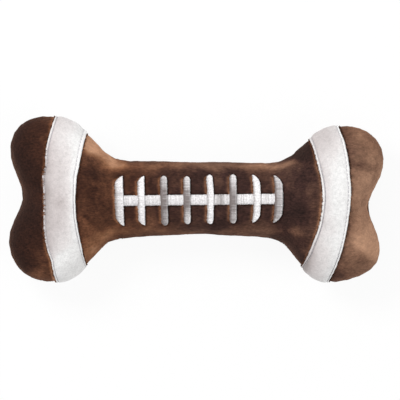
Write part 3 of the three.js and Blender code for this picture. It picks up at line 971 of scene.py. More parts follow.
# Tones of the pile from dark to light, which carry mottle and painted light, of the strips, of the painted
# shadow in their creases and of the satin, as sRGB 255ths
NAP_COOL = [
    (0, (43, 28, 25)), (0.2, (58, 38, 34)), (0.45, (98, 70, 57)), (0.7, (131, 98, 79)),
    (1, (182, 141, 114)),
]
NAP_WARM = [
    (0, (42, 23, 17)), (0.2, (58, 33, 23)), (0.45, (104, 66, 46)), (0.7, (140, 96, 68)),
    (1, (190, 143, 112)),
]
PLUSH_TONES = [
    (0, (160, 151, 149)), (0.35, (197, 189, 188)), (0.7, (223, 218, 217)), (0.88, (234, 233, 232)),
    (1, (241, 240, 239)),
]
PAINTED_CREASE_SHADOW_TONE = (112, 110, 120)
SATIN_TONES = [(0, (118, 107, 105)), (1, (250, 248, 249))]


def linear(rgb):
    """An sRGB colour given in 255ths, as Blender's linear colour."""
    shares = [value / 255 for value in rgb]
    return [s / 12.92 if s <= 0.04045 else ((s + 0.055) / 1.055) ** 2.4 for s in shares] + [1]


def grey(value):
    return [value, value, value, 1]


class Material:
    """A material's node tree. Textures and tones are handed on as (node, output) pairs."""

    def __init__(self, name):
        self.material = bpy.data.materials.new(name)
        self.material.use_nodes = True
        self.tree = self.material.node_tree
        self.tree.nodes.clear()
        self.shader = self.add("ShaderNodeBsdfPrincipled")
        self.output = self.add("ShaderNodeOutputMaterial")
        self.wire((self.shader, "BSDF"), self.output, "Surface")

    def add(self, kind, inputs=None, **settings):
        node = self.tree.nodes.new(kind)
        for key, value in settings.items():
            setattr(node, key, value)
        for key, value in (inputs or {}).items():
            node.inputs[key].default_value = value
        return node

    def wire(self, value, node, slot):
        """Links a pair to a node's input, or sets the input to a plain number or colour."""
        if isinstance(value, tuple):
            self.tree.links.new(value[0].outputs[value[1]], node.inputs[slot])
        else:
            node.inputs[slot].default_value = value

    def set(self, **values):
        """Sets the shader's own sockets."""
        for key, value in values.items():
            self.shader.inputs[key.replace("_", " ")].default_value = value

    def attribute(self, name):
        return self.add("ShaderNodeAttribute", attribute_name=name), "Fac"

    def noise(self, scale, detail, rough, stretch=(1, 1, 1)):
        """Noise in object coordinates, stretched along the axes."""
        place = self.add("ShaderNodeMapping", {"Scale": stretch})
        self.wire((self.add("ShaderNodeTexCoord"), "Object"), place, "Vector")
        found = self.add("ShaderNodeTexNoise", {"Scale": scale, "Detail": detail, "Roughness": rough})
        self.wire((place, "Vector"), found, "Vector")
        return found, "Fac"

    def ramp(self, source, stops):
        found = self.add("ShaderNodeValToRGB")
        elements = found.color_ramp.elements
        while len(elements) < len(stops):
            elements.new(0.5)
        for element, (at, colour) in zip(elements, stops):
            element.position = at
            element.color = colour
        self.wire(source, found, "Fac")
        return found, "Color"

    def tones(self, source, *stops):
        return self.ramp(source, [(at, linear(rgb)) for at, rgb in stops])

    def greys(self, source, *stops):
        return self.ramp(source, [(at, grey(value)) for at, value in stops])

    def maths(self, operation, first, second, clamp=False):
        found = self.add("ShaderNodeMath", operation=operation, use_clamp=clamp)
        self.wire(first, found, 0)
        self.wire(second, found, 1)
        return found, "Value"

    def mix(self, share, first, second, blend="MIX"):
        found = self.add("ShaderNodeMix", data_type="RGBA", blend_type=blend)
        for slot, side in ((0, share), (6, first), (7, second)):
            self.wire(side, found, slot)
        return found, 2

    def times(self, tone, *others):
        """A tone multiplied by others."""
        for other in others:
            tone = self.mix(1, tone, other, "MULTIPLY")
        return tone

    def spread(self, value, texture, amount):
        """A value from 0 to 1, made to vary by a texture."""
        around = self.maths("MULTIPLY", self.maths("SUBTRACT", texture, 0.5), amount)
        return self.maths("ADD", value, around, clamp=True)

    def bump(self, strength, distance, *heights):
        """Bumps from one or more heights, each over the one before."""
        below = None
        for height in heights:
            found = self.add("ShaderNodeBump", {"Strength": strength, "Distance": distance})
            self.wire(height, found, "Height")
            if below:
                self.wire((below, "Normal"), found, "Normal")
            below = found
        self.wire((below, "Normal"), self.shader, "Normal")

    def colour(self, tone):
        self.wire(tone, self.shader, "Base Color")


def velour():
    """Brown pile: dark where its painted sheen shows it seen into, light where seen along, and grainy where it is dark.
    """
    m = Material("brown_velour")
    total = m.spread(m.attribute("nap"), m.noise(55, 4, 0.6), 0.3)
    tone = m.mix(m.attribute("warmth"), m.tones(total, *NAP_COOL), m.tones(total, *NAP_WARM))
    tone = m.times(tone, m.greys(m.noise(330, 3, 0.6, (0.5, 1, 1)), (0.3, 0.84), (0.7, 1.13)))
    tufts = m.noise(900, 3, 0.6, (0.45, 1, 1))
    strands = m.noise(2600, 2, 0.6, (0.3, 1, 1))
    grain, fine = m.greys(tufts, (0.3, 0.45), (0.7, 1.48)), m.greys(strands, (0.3, 0.76), (0.7, 1.2))
    grainy = m.times(tone, grain, fine)
    m.colour(m.mix(m.maths("MULTIPLY", total, 0.75), grainy, tone))
    m.set(Roughness=0.9, Sheen_Weight=0.3, Sheen_Roughness=0.35, Sheen_Tint=linear((190, 132, 98)))
    m.set(Specular_IOR_Level=0.15)
    m.bump(0.5, 0.35 * MM, tufts, strands)
    return m.material


def white_plush():
    m = Material("white_plush")
    # The white pile's tone carries painted light and shade
    tone = m.tones(m.spread(m.attribute("nap"), m.noise(60, 4, 0.6), 0.35), *PLUSH_TONES)
    tufts = m.noise(1100, 3, 0.6)
    mottle = m.greys(m.noise(380, 3, 0.65), (0.32, 0.9), (0.6, 1.03))
    pile = m.times(tone, m.greys(tufts, (0.3, 0.86), (0.65, 1.02)), mottle)
    # A painted shadow along the stitching, in its own tone
    m.colour(m.mix(m.attribute("crease"), pile, linear(PAINTED_CREASE_SHADOW_TONE)))
    m.set(Roughness=0.92, Sheen_Weight=0.25, Sheen_Roughness=0.4, Specular_IOR_Level=0.2)
    m.bump(0.35, 0.3 * MM, tufts)
    return m.material


def satin():
    m = Material("satin_thread")
    fibres = m.noise(1050, 3, 0.7)
    tone = m.tones(m.attribute("shade"), *SATIN_TONES)
    m.colour(m.times(tone, m.greys(fibres, (0.34, 0.64), (0.6, 1.06))))
    m.set(Roughness=0.42, Specular_IOR_Level=0.5, Sheen_Weight=0.1)
    m.bump(0.2, 0.1 * MM, fibres)
    return m.material


def mottled(name, dark, light, textures, bump, **settings):
    """A material mottled by its first texture and bumped by all of them."""
    m = Material(name)
    heights = [m.noise(*texture) for texture in textures]
    m.colour(m.tones(heights[0], (0.3, dark), (0.7, light)))
    m.set(**settings)
    m.bump(*bump, *heights)
    return m.material


def darker(rgb, share):
    return [value * share for value in rgb]


def thread(name, rgb):
    look = {"Roughness": 0.55, "Specular_IOR_Level": 0.4}
    return mottled(name, darker(rgb, 0.86), rgb, [(3000, 2, 0.5)], (0.3, 0.1 * MM), **look)


def plastic(name, rgb, rough, cloudy):
    m = Material(name)
    cloud = m.noise(cloudy, 3, 0.5)
    m.colour(m.tones(cloud, (0.3, darker(rgb, 0.95)), (0.7, rgb)))
    m.wire(m.greys(cloud, (0.3, rough * 0.85), (0.7, rough * 1.15)), m.shader, "Roughness")
    m.bump(0.12, 0.05 * MM, m.noise(2200, 2, 0.5))
    return m.material


VELOUR = velour()
WHITE_PLUSH = white_plush()
SATIN = satin()
STRIP_THREAD = thread("strip_thread", (205, 203, 207))
CLOSING_THREAD = thread("closing_thread", (70, 47, 37))
FELT = mottled(
    "backing_felt", (206, 202, 192), (236, 232, 224), [(700, 4, 0.65)], (0.5, 0.2 * MM),
    Roughness=0.95, Specular_IOR_Level=0.15,
)
FIBRE = mottled(
    "fibre_fill", (222, 221, 215), (246, 246, 242), [(260, 5, 0.65), (1400, 2, 0.6, (1, 0.25, 1))],
    (0.6, 0.5 * MM), Roughness=0.95, Specular_IOR_Level=0.2, Sheen_Weight=0.3, Sheen_Roughness=0.5,
)
SOFT_PLASTIC = plastic("soft_plastic", (222, 226, 228), 0.42, 120)
HARD_PLASTIC = plastic("hard_plastic", (242, 242, 238), 0.3, 200)
REED_FILM = plastic("reed_film", (200, 203, 208), 0.22, 400)

velour_skin = velour_mesh()
set_attribute(velour_skin, "nap", nap_of(surface_points, normals(surface)))
set_attribute(velour_skin, "warmth", warmth_of(surface_points))

for side, face in FACES:
    name = f"velour_{face}"
    skin = finished(name, half_skin(velour_skin, side, name), VELOUR, "brown_velour", f"{face}_panel")
    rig.padded(skin, fill=0.85)


# Strips


def ring_faces(rings, sides, first=0):
    """The faces between rings of corners, each ring joined to the next."""
    faces = []
    for ring in range(rings - 1):
        for side in range(sides):
            near = first + ring * sides + side
            beside = first + ring * sides + (side + 1) % sides
            faces.append((near, beside, beside + sides, near + sides))
    return faces


def new_mesh(name, points, faces):
    mesh = bpy.data.meshes.new(name)
    mesh.from_pydata([tuple(p) for p in points], [], faces)
    mesh.update()
    return mesh


def ring_mesh(name, rings):
    """A mesh over rings of points, all of one length."""
    return new_mesh(name, np.concatenate(rings), ring_faces(len(rings), len(rings[0])))


def strip_mesh(name, top, under, **fields):
    """A closed strip over rows of points on top and below, with fields of values given on top."""
    mesh = ring_mesh(name, [np.concatenate([above, below[::-1]]) for above, below in zip(top, under)])
    for label, values in fields.items():
        values = np.array(values)
        set_attribute(mesh, label, np.concatenate([values, values[:, ::-1]], axis=1).ravel())
    with edited(mesh) as body:
        bmesh.ops.holes_fill(body, edges=[e for e in body.edges if e.is_boundary], sides=0)
        bmesh.ops.recalc_face_normals(body, faces=body.faces)
    shade_smooth(mesh)
    return mesh


# The last stretch to the seam is found by rays that fan out from a pivot inside the body
FAN_STEPS = 16
FAN_PIVOT = 7 * MM
# The seam lies between these distances along every bow
SEAM_BETWEEN = (20 * MM, 90 * MM)
HALVINGS = 24
BAND_STEP = 0.8 * MM
STRIP_RUN = 130 * MM
# Columns of points across a strip: their distances from each edge in mm, then even ones between
EDGE_COLUMNS = [
    0, 0.15, 0.35, 0.6, 0.85, 1.1, 1.3, 1.5, 1.7, 1.9, 2.1, 2.3, 2.5, 2.75, 3.05, 3.4, 3.9, 4.5,
]
EVEN_FROM = 5.2 * MM
# The hand-cut edge's unevenness
RAGGED = [(1.6 * MM, 0.28 * MM), (4.5 * MM, 0.3 * MM)]
RAGGED_REACH = 0.8 * MM
# The strip's height, its rise in from the stitching, its lumps and the stitching's groove
BAND_RISE = 1.25 * MM
BAND_EDGE = (-0.1 * MM, 0.6 * MM)
INNER_RISE = 0.5 * MM
INNER_REACH = 3.5 * MM
STRIP_LUMPS = [(3 * MM, 0.12 * MM), (9 * MM, 0.2 * MM)]
STITCH_DIP = 0.95 * MM
STITCH_DIP_HALF = 0.4 * MM
DEEP_CREASE = 0.6
LEAST_GROOVE = 0.35
# The painted shadow in the stitching's groove: its half width and the size of its patches
CREASE_SHADOW_HALF = 0.34 * MM
CREASE_SHADOW_PATCHES = 7 * MM
# The strip's ends are tucked into the seam
END_TUCK = 1.05 * MM
END_PINCH = 1.3 * MM
UNDERSIDE = 0.2 * MM
WHITE_BASE = 0.74
# A painted highlight on the lip outside the stitching and its half width, then how far the painted light and shade near
# each edge reach
WHITE_LIP_PAINTED_HIGHLIGHT = 0.45
WHITE_LIP_HIGHLIGHT_HALF = 0.7 * MM
EDGE_PAINTED_LIGHT_REACH = 5 * MM


def bow_path(band, past, side):
    """The line over the body along one arc of a strip, from seam to seam."""
    centre = Vector(band["centre"])
    heading = 0 if band["outward"] > 0 else math.pi
    radius = band["bow"] - band["width"] / 2 + past
    share = past / band["width"]

    def place(run):
        angle = heading + run / radius
        ray = Vector((math.cos(angle), math.sin(angle)))
        inner, outer = at_edges(band, "stray", (centre + ray * radius).y)
        return centre + ray * (radius + float((1 - share) * inner + share * outer))

    def seam_run(sign):
        inside, outside = SEAM_BETWEEN
        for _ in range(HALVINGS):
            middle = (inside + outside) / 2
            if over(place(sign * middle), side)[0] is None:
                outside = middle
            else:
                inside = middle
        return inside

    ends = []
    for sign in (-1, 1):
        pivot_run = sign * (seam_run(sign) - FAN_PIVOT)
        angle = heading + (pivot_run + sign * FAN_PIVOT / 2) / radius
        outward = Vector((-math.sin(angle), math.cos(angle), 0)) * sign
        pivot = Vector((*place(pivot_run), SEAM))
        fan = []
        for step in range(FAN_STEPS):
            tilt = math.pi / 2 * step / FAN_STEPS
            ray = outward * math.cos(tilt) + Vector((0, 0, side * math.sin(tilt)))
            fan.append(surface_tree.ray_cast(pivot, ray)[0])
        ends.append((pivot_run, fan))
    (low, first), (high, last) = ends
    count = int((high - low) / BAND_STEP)
    top = [over(place(low + (high - low) * step / count), side)[0] for step in range(count + 1)]
    return np.array([point[:] for point in (*first, *top, *reversed(last)) if point is not None])


def strip_rows(end, side):
    """Points on the cloth in rows along a strip, with the outward direction at each."""
    band = BANDS[end]
    width = band["width"]
    edge = [value * MM for value in EDGE_COLUMNS]
    middle = np.linspace(EVEN_FROM, width - EVEN_FROM, int((width - 10 * MM) / BAND_STEP))
    across = np.array([*edge, *middle, *[width - value for value in reversed(edge)]])
    count = int(STRIP_RUN / (BAND_STEP * (2 if quick else 1)))
    points = np.stack([resampled(bow_path(band, past, side), count) for past in across], axis=1)
    along, outward = np.gradient(points, axis=(0, 1))
    out = unit(np.cross(along, outward))
    out *= 1 if out[count // 2, len(across) // 2, 2] * side > 0 else -1
    ragged = ripples(points.reshape(-1, 3), RAGGED, seed=81).reshape(count, -1)
    fade = np.exp(-np.minimum(across, width - across) / RAGGED_REACH)
    points += unit(outward) * (ragged * fade)[:, :, None]
    return points, out, across


def strip(end, side, face):
    """A strip of white plush, its edges stitched down. Gives back its stitch lines and its cloth."""
    name = f"strip_{face}_{end}"
    points, out, across = strip_rows(end, side)
    band = BANDS[end]
    width = band["width"]
    grid = points.shape[:2]
    rows, columns = grid
    heights = points[:, :, 1]
    flat = points.reshape(-1, 3)
    past = np.tile(across, (rows, 1))
    from_edge = np.minimum(past, width - past)

    def of_nearer_edge(what):
        return np.where(past < width / 2, *at_edges(band, what, heights))

    inset = of_nearer_edge("inset")
    depth = of_nearer_edge("crease") / MM
    lift = BAND_RISE * smooth_step(*BAND_EDGE, from_edge)
    groove = LEAST_GROOVE + (1 - LEAST_GROOVE) * np.clip(depth / DEEP_CREASE, 0, 1)
    lift -= STITCH_DIP * groove * bell(from_edge - inset, STITCH_DIP_HALF)
    lift += INNER_RISE * smooth_step(0, INNER_REACH, from_edge - inset)
    lift += ripples(flat, STRIP_LUMPS, seed=71).reshape(grid)
    run = np.arange(rows) * (STRIP_RUN / rows)
    pinch = bell(np.minimum(run, run[::-1])[:, None], END_PINCH)
    lift = lift * (1 - pinch) - pinch * END_TUCK
    top = points + out * lift[:, :, None]
    top[:, :, 2] = np.maximum(top[:, :, 2], FLOOR_GAP)
    under = points - out * (END_TUCK + UNDERSIDE)

    # A painted shadow along the stitched groove, in patches
    crease = depth * bell(from_edge - inset, CREASE_SHADOW_HALF)
    crease *= np.clip(0.8 + 0.7 * ripple(flat, CREASE_SHADOW_PATCHES, seed=73), 0.3, 1).reshape(grid)
    nap = np.full(grid, WHITE_BASE)
    # On the front, painted light and shade: in ovals, across the strip from side to side and near each edge
    if side > 0:
        nap += oval_sum(flat, WHITE_PAINTED_LIGHT).reshape(grid)
        start, rise = band["painted_light_slope"]
        nap += start + rise * (past / width if band["outward"] > 0 else 1 - past / width)
        for away, edge in ((past, "inner"), (width - past, "outer")):
            nap += share_at(band[edge]["tone"], heights) * bell(away, EDGE_PAINTED_LIGHT_REACH)
    # A painted highlight on the lip outside the stitching
    nap += WHITE_LIP_PAINTED_HIGHLIGHT * bell(from_edge - inset * 0.5, WHITE_LIP_HIGHLIGHT_HALF) * (from_edge < inset)
    mesh = strip_mesh(name, top, under, crease=crease, nap=nap)
    finished(name, mesh, WHITE_PLUSH, "white_plush", f"{face}_band_{end}")

    numbers = np.arange(columns)
    lines = []
    for sewn in (inset[:, 0], width - inset[:, -1]):
        places = np.interp(sewn, across, numbers)
        lines.append([
            np.array([read_at(row, numbers, place) for row, place in zip(field, places)])
            for field in (top, out)
        ])
    return lines, points, out


# Threads and pile fringes

STITCH_LENGTH = 2.7 * MM
STITCH_GAP = 0.5 * MM
STITCH_RADIUS = 0.2 * MM
THREAD_SIDES = 6
STITCH_DIVE = 0.45 * MM
STITCH_START = 3 * MM
# Places along a stitch, and how many of its radii it rises there. It dives in at its ends.
STITCH_SHARES = np.array([0, 0.12, 0.5, 0.88, 1])
STITCH_RISE = (0.4, 1.1, 0.4)
# No thread runs this way
ASKEW = [0.31, 0.17, 0.93]


def tube_rings(path, radius, sides):
    """Rings of points round a path. Radius is one number or one for each place on the path."""
    path = np.asarray(path, dtype=float)
    along = unit(np.gradient(path, axis=0))
    across = unit(np.cross(along, ASKEW))
    over = np.cross(along, across)
    radii = np.broadcast_to(radius, len(path))
    turns = np.arange(sides) * math.tau / sides
    x, y = (part(turns)[None, :, None] for part in (np.cos, np.sin))
    ring = x * across[:, None, :] + y * over[:, None, :]
    return path[:, None, :] + ring * radii[:, None, None]


class Gathered:
    """Many small closed tubes in one mesh."""

    def __init__(self):
        self.points = []
        self.faces = []
        self.values = []
        self.count = 0

    def tube(self, path, radius, sides, value=0.0):
        rings = tube_rings(path, radius, sides)
        first, last = self.count, self.count + (len(rings) - 1) * sides
        self.points.append(rings.reshape(-1, 3))
        self.faces += ring_faces(len(rings), sides, first)
        self.faces.append(tuple(first + side for side in reversed(range(sides))))
        self.faces.append(tuple(last + side for side in range(sides)))
        self.values += [value] * (last + sides - first)
        self.count = last + sides

    def mesh(self, name, attribute=None):
        points = np.concatenate(self.points)
        points[:, 2] = np.maximum(points[:, 2], FLOOR_GAP)
        mesh = new_mesh(name, points, self.faces)
        shade_smooth(mesh)
        if attribute:
            set_attribute(mesh, attribute, self.values)
            set_attribute(mesh, "warmth", np.clip(warmth_of(points) + TUFT_WARMTH, 0, 1))
        return mesh


def stitches(store, path, out):
    """A row of stitches along a path, each one diving into the cloth at its ends."""
    run = path_run(path)
    lift = np.array([-STITCH_DIVE, *[STITCH_RADIUS * share for share in STITCH_RISE], -STITCH_DIVE])
    start = STITCH_START
    while start + STITCH_LENGTH < run[-1] - STITCH_START:
        wanted = start + STITCH_LENGTH * STITCH_SHARES
        stitch = read_at(path, run, wanted) + read_at(out, run, wanted) * lift[:, None]
        store.tube(stitch, STITCH_RADIUS, THREAD_SIDES)
        start += STITCH_LENGTH + STITCH_GAP


# A fibre's radius, and what is left of it at the fibre's root, bend and tip
FIBRE_RADIUS = 0.13 * MM
FIBRE_TAPER = (1, 0.85, 0.2)
FIBRE_SIDES = 3
FIBRE_LENGTH = 1.9 * MM
TUFT_FIBRES = 5
TUFTS_PER_MM = 0.3 if quick else 1.2
ROOT_DEPTH = 0.8 * MM
STAND = 1.75 * MM
NAP_WAY = np.array([1.0, 0.0, 0.0])
# Tufts take their tone from the pile this far beside the edge, where it is lighter than dark pile
BESIDE_EDGE = 1.5 * MM
DARK_PILE = 0.25
TUFT_WARMTH = 0.3
# Where along the strips the pile laps most over an edge that it leans on to, and how far. It laps less
# on the back, and within the bare reach of the seam's level the edge has none.
LAP_HEIGHT = {"left": -2 * MM, "right": 26 * MM}
LAP_MOST = {"left": 0.6, "right": 0.15}
LAP_REACH = 28 * MM
LAP_PATCHES = 9 * MM
BACK_LAP = 0.35
BARE_REACH = 3 * MM


def lighter_pile(points, out):
    """How much lighter than dark pile a tuft is, to suit the pile round it."""
    return 0.5 * np.maximum(nap_of(points, out) - DARK_PILE, 0)


def add_tuft(store, rng, at, up, away, over, size, light):
    """A tuft of pile beside an edge. Over says how far it laps over the edge, from 0 to 1."""
    sideways = np.cross(up, away)
    gather = sideways * rng.gauss(0, 0.4)
    reach = FIBRE_LENGTH * size * rng.uniform(0.7, 1.25) * (0.5 + 0.9 * over)
    # Tufts that lap further over are painted lighter, a painted glow, and light adds more painted glow and the pile's
    # lightness round them
    tone = 0.2 + 0.5 * over + light + rng.gauss(0, 0.12)
    radii = [FIBRE_RADIUS * share for share in FIBRE_TAPER]
    for _ in range(TUFT_FIBRES):
        spot = at + away * rng.uniform(0.1, 0.8) * MM + sideways * rng.gauss(0, 0.35) * MM
        root = spot - up * ROOT_DEPTH
        lean = NAP_WAY * 0.35 - away * over * 1.1 + gather
        lean -= up * float(up @ lean)
        bend = root + up * (ROOT_DEPTH + STAND * size * (0.45 + 0.55 * over)) + lean * reach * 0.3
        tip = bend + (lean + up * 0.06) * reach * rng.uniform(0.5, 0.8)
        shade = min(1.0, max(0.0, tone + rng.gauss(0, 0.08)))
        store.tube([root, bend, tip], radii, FIBRE_SIDES, shade)


def fringe_along(store, rng, path, out, beside, lap, size=1.0, light=0.0):
    """Tufts of pile along an edge. Beside points from the edge out over the velour.

    The pile leans along the nap: over the edge where the nap runs on to it, and off it elsewhere.
    Lap says how far it lies over the edge, from 0 to 1, at each place on the path. Less than 0 is bare.
    """
    run = path_run(path)
    lighter = lighter_pile(path + beside * BESIDE_EDGE, out)
    for _ in range(int(run[-1] / MM * TUFTS_PER_MM)):
        place = rng.uniform(0, run[-1])
        at, up, away = (read_at(values, run, place) for values in (path, out, beside))
        over, lit = (float(np.interp(place, run, values)) for values in (lap, lighter))
        onto = max(0.0, -float(NAP_WAY @ away))
        if over >= 0:
            add_tuft(store, rng, at, up, away, onto * over, size, light * onto + lit)


rng = random.Random(7)
fringe = Gathered()

for end in BANDS:
    for side, face in FACES:
        lines, cloth, out = strip(end, side, face)
        sewn = Gathered()
        for line, ups in lines:
            stitches(sewn, line, ups)
        finished(f"stitching_{face}_{end}", sewn.mesh("stitching"), STRIP_THREAD, "satin_thread")
        for column, inner in ((0, 1), (-1, -2)):
            edge = cloth[:, column]
            patchy = 0.5 + 0.9 * ripple(edge, LAP_PATCHES, seed=91)
            most = LAP_MOST[end] * bell(edge[:, 1] - LAP_HEIGHT[end], LAP_REACH)
            lap = np.clip(most + 0.15 + 0.3 * patchy, 0, 1) * (1 if side > 0 else BACK_LAP)
            lap = np.where(np.abs(edge[:, 2] - SEAM) < BARE_REACH, -1, lap)
            fringe_along(fringe, rng, edge, out[:, column], unit(edge - cloth[:, inner]), lap)


# Laces

THREAD_PITCH = 0.46 * MM
THREAD_STEPS = 2 if quick else 4
THREAD_RIDGE = 0.16 * MM
RIDGE_DROP = 0.75
# Painted shade in the dip between one thread and the next
THREAD_GAP_PAINTED_SHADE = 0.2
# How far threads differ, one to the next: where they end, how high they lie and how light they are
THREAD_ENDS = 0.13
THREAD_HEIGHT = 0.05
THREAD_TONE = 0.1
LACE_RISE = 1.35 * MM
LACE_SINK = 0.35 * MM
# Over this length at its tips a lace is lower, down to this share of its height
LACE_TIP = 1.2 * MM
TIP_SHARE = 0.45
LEAST_HALF = 0.15 * MM
LACE_COLUMNS = 13
SMOOTHED_ROWS = 24
# The satin's steepness at an edge. Then how steep the right edge is, how much higher the satin lies
# there, how much painted shade darkens the left edge and how much painted highlight lightens the right one.
STEEP = 3.4
PLAIN_SATIN = (STEEP, 0, 0, 0)
LACE_SATIN = (10, 0.2, 0.58, 0.3)
# How round the satin is across, and where the painted shade of its left edge and the painted highlight
# of its right one lie, from the middle to the edge
SATIN_ROUND = 0.6
PAINTED_SHADE_FROM_TO = (0.05, 0.95)
PAINTED_HIGHLIGHT_FROM_TO = (0.35, 0.9)
# Where a cross lace's painted middle tone turns into its ends' painted tones
TONES_FROM_TO = (0.12, 0.9)
SPINE_RISE = 0.8 * MM
# Painted shade on the spine's threads: they lighten to the right, and are greyer round one place along it
SPINE_TONE = 0.78
SPINE_PAINTED_LIGHTENING = 0.1
SPINE_PAINTED_GREYING = 0.46
SPINE_GREY = 77 * MM
SPINE_GREY_REACH = 4 * MM
# A cross lace climbs on to the spine over this length
LACE_RAMP = 2.6 * MM
LACE_LAP = 0.4
LACE_TUFT = 0.62
# The painted glow on the tufts at a lace's left
LACE_TUFT_PAINTED_GLOW = 0.12
CROSSING_CLEAR = 1.1 * MM


def arch(share):
    """A half circle's height at a share of its width."""
    return math.sqrt(max(0, 4 * share * (1 - share)))


def smoothed_outs(places):
    """The directions out of the cloth along a lace, averaged over a window of rows."""
    outs = np.array([on_face(place)[1] for _, place in places])
    window = min(len(outs) // 4, SMOOTHED_ROWS)
    padded = np.pad(outs, ((window, window), (0, 0)), mode="edge")
    kernel = np.ones(2 * window + 1) / (2 * window + 1)
    return unit(np.stack([np.convolve(padded[:, axis], kernel, "valid") for axis in range(3)], axis=1))


def satin_strip(name, node, start, run, length, outline, lift, rise, shade, seed, style=PLAIN_SATIN):
    """A satin-stitched strip: threads side by side, each one crossing from edge to edge.

    Outline gives the half width and the shift to the left at a place along it, lift the height of the
    cloth or spine below it. Start and run are in plan. Gives back its edges, with the directions out of
    the cloth and sideways from it.
    """
    rng = random.Random(seed)
    right_edge, lopsided, left_painted_shade, right_painted_highlight = style
    threads = int(length / THREAD_PITCH)
    rows = threads * THREAD_STEPS
    cross = left_of(run)
    shares = np.sin(np.linspace(-1, 1, LACE_COLUMNS) * math.pi / 2)
    steep = np.where(shares < 0, right_edge, STEEP)
    swell = np.maximum(0, 1 - np.abs(shares) ** steep) ** SATIN_ROUND
    swell *= 1 - lopsided * shares
    # Painted shade on the left edge and a painted highlight on the right one
    painted_edge_light = -left_painted_shade * smooth_step(*PAINTED_SHADE_FROM_TO, shares)
    painted_edge_light += right_painted_highlight * smooth_step(*PAINTED_HIGHLIGHT_FROM_TO, -shares)
    places = [(length * row / rows, start + run * (length * row / rows)) for row in range(rows + 1)]
    outs = smoothed_outs(places)
    jitter = []
    for _ in range(threads + 1):
        ends = rng.gauss(0, THREAD_ENDS) * MM, rng.gauss(0, THREAD_ENDS) * MM
        jitter.append((*ends, rng.gauss(0, THREAD_HEIGHT) * MM, rng.gauss(0, THREAD_TONE)))
    top, under, tones = [], [], []
    for row, ((along, place), out) in enumerate(zip(places, outs)):
        thread, step = divmod(row, THREAD_STEPS)
        left, right, high, tone = jitter[thread]
        round_up = arch(step / THREAD_STEPS)
        ridge = THREAD_RIDGE * (round_up - RIDGE_DROP)
        half, middle = outline(along)
        reach = half + np.where(shares < 0, left, right) * abs(shares)
        lateral = middle + shares * np.maximum(reach, LEAST_HALF)
        rim_fade = smooth_step(0, LACE_TIP, min(along, length - along))
        height = lift(along) + (rise * (TIP_SHARE + (1 - TIP_SHARE) * rim_fade) + high + ridge) * swell
        height = height - LACE_SINK * np.maximum(1 - swell, 0)
        base = np.array([on_face(place + cross * offset)[0] for offset in lateral])
        top.append(base + out * height[:, None])
        under.append(base - out * (LACE_DIP + LACE_SINK))
        # Painted shade in the dips between threads, and the painted shade and highlight at the edges
        tones.append(np.clip(shade(along) + tone - THREAD_GAP_PAINTED_SHADE * (1 - round_up) + painted_edge_light, 0, 1))
    finished(name, strip_mesh(name, top, under, shade=tones), SATIN, "satin_thread", node)
    sideways = np.tile([*cross, 0], (len(top), 1))
    return [(np.array(top)[:, column], outs, sideways * way) for column, way in ((0, -1), (-1, 1))]


def lace_spine():
    def shade(along):
        lighter = SPINE_PAINTED_LIGHTENING * along / (2 * SPINE_REACH)
        return SPINE_TONE + lighter - SPINE_PAINTED_GREYING * bell(along - SPINE_GREY, SPINE_GREY_REACH)

    start = LACE_CENTRE - ALONG * SPINE_REACH
    return satin_strip(
        "lace_long", "lace_spine", start, ALONG, 2 * SPINE_REACH,
        lambda along: (SPINE_WIDTH / 2, 0), lambda along: 0, SPINE_RISE, shade, seed=90,
    )


def cross_lace(index):
    """One cross lace. The outer ones are cut slanted on the side away from the middle."""
    lace = LACES[index]
    length = lace_length(lace)

    def lift(along):
        from_spine = abs(along + lace.short[0] * MM - LACE_LENGTH / 2) - SPINE_WIDTH / 2
        return SPINE_RISE * (1 - float(smooth_step(0, LACE_RAMP, np.array(from_spine))))

    # The thread's painted sheen and shade, from the middle to the ends
    def shade(along):
        from_middle = 2 * along / length - 1
        low, centre, high = lace.tones
        tip = high if from_middle > 0 else low
        return centre + (tip - centre) * float(smooth_step(*TONES_FROM_TO, abs(from_middle)))

    return satin_strip(
        f"lace_{index + 1}", f"lace_cross_{index + 1}", *lace_line(index), length,
        lambda along: lace_outline(lace, along), lift, LACE_RISE, shade, 100 + index, LACE_SATIN,
    )


def near_crossing(points):
    """Whether places on a lace's edge lie where the spine and a cross lace meet."""
    on_spine = by_spine(points)[1] < SPINE_WIDTH / 2 + CROSSING_CLEAR
    beyond = [by_lace(points, index)[2] for index in range(LACE_COUNT)]
    return on_spine & (np.min(beyond, axis=0) < CROSSING_CLEAR)


lace_edges = lace_spine()
for index in range(LACE_COUNT):
    lace_edges += cross_lace(index)
for edge, outs, beside in lace_edges:
    lap = np.where(near_crossing(edge), -1, LACE_LAP)
    fringe_along(fringe, rng, edge, outs, beside, lap, LACE_TUFT, LACE_TUFT_PAINTED_GLOW)
finished("pile_fringe", fringe.mesh("pile_fringe", "nap"), VELOUR, "brown_velour")


# Seam: ladder stitches that close it on the shaft's lower edge, and short pile that stands out of it

CLOSING_REACH = 26 * MM
CLOSING_STEP = 3.2 * MM
CLOSING_RADIUS = 0.24 * MM
# Each ladder stitch in mm: along the toy, up, and out of the seam
CLOSING_PATH = [
    (-0.35, 1.9, -0.7), (-0.35, 1.5, -0.1), (0, 0, -0.05), (0.35, -1.5, -0.1), (0.35, -1.9, -0.7),
]
SEAM_TUFTS_PER_MM = 0.2 if quick else 0.9
SEAM_TUFT = 0.42
SEAM_LAP = 0.25
SEAM_ROOT = 0.7 * MM
BESIDE_STRIP = 1.5 * MM


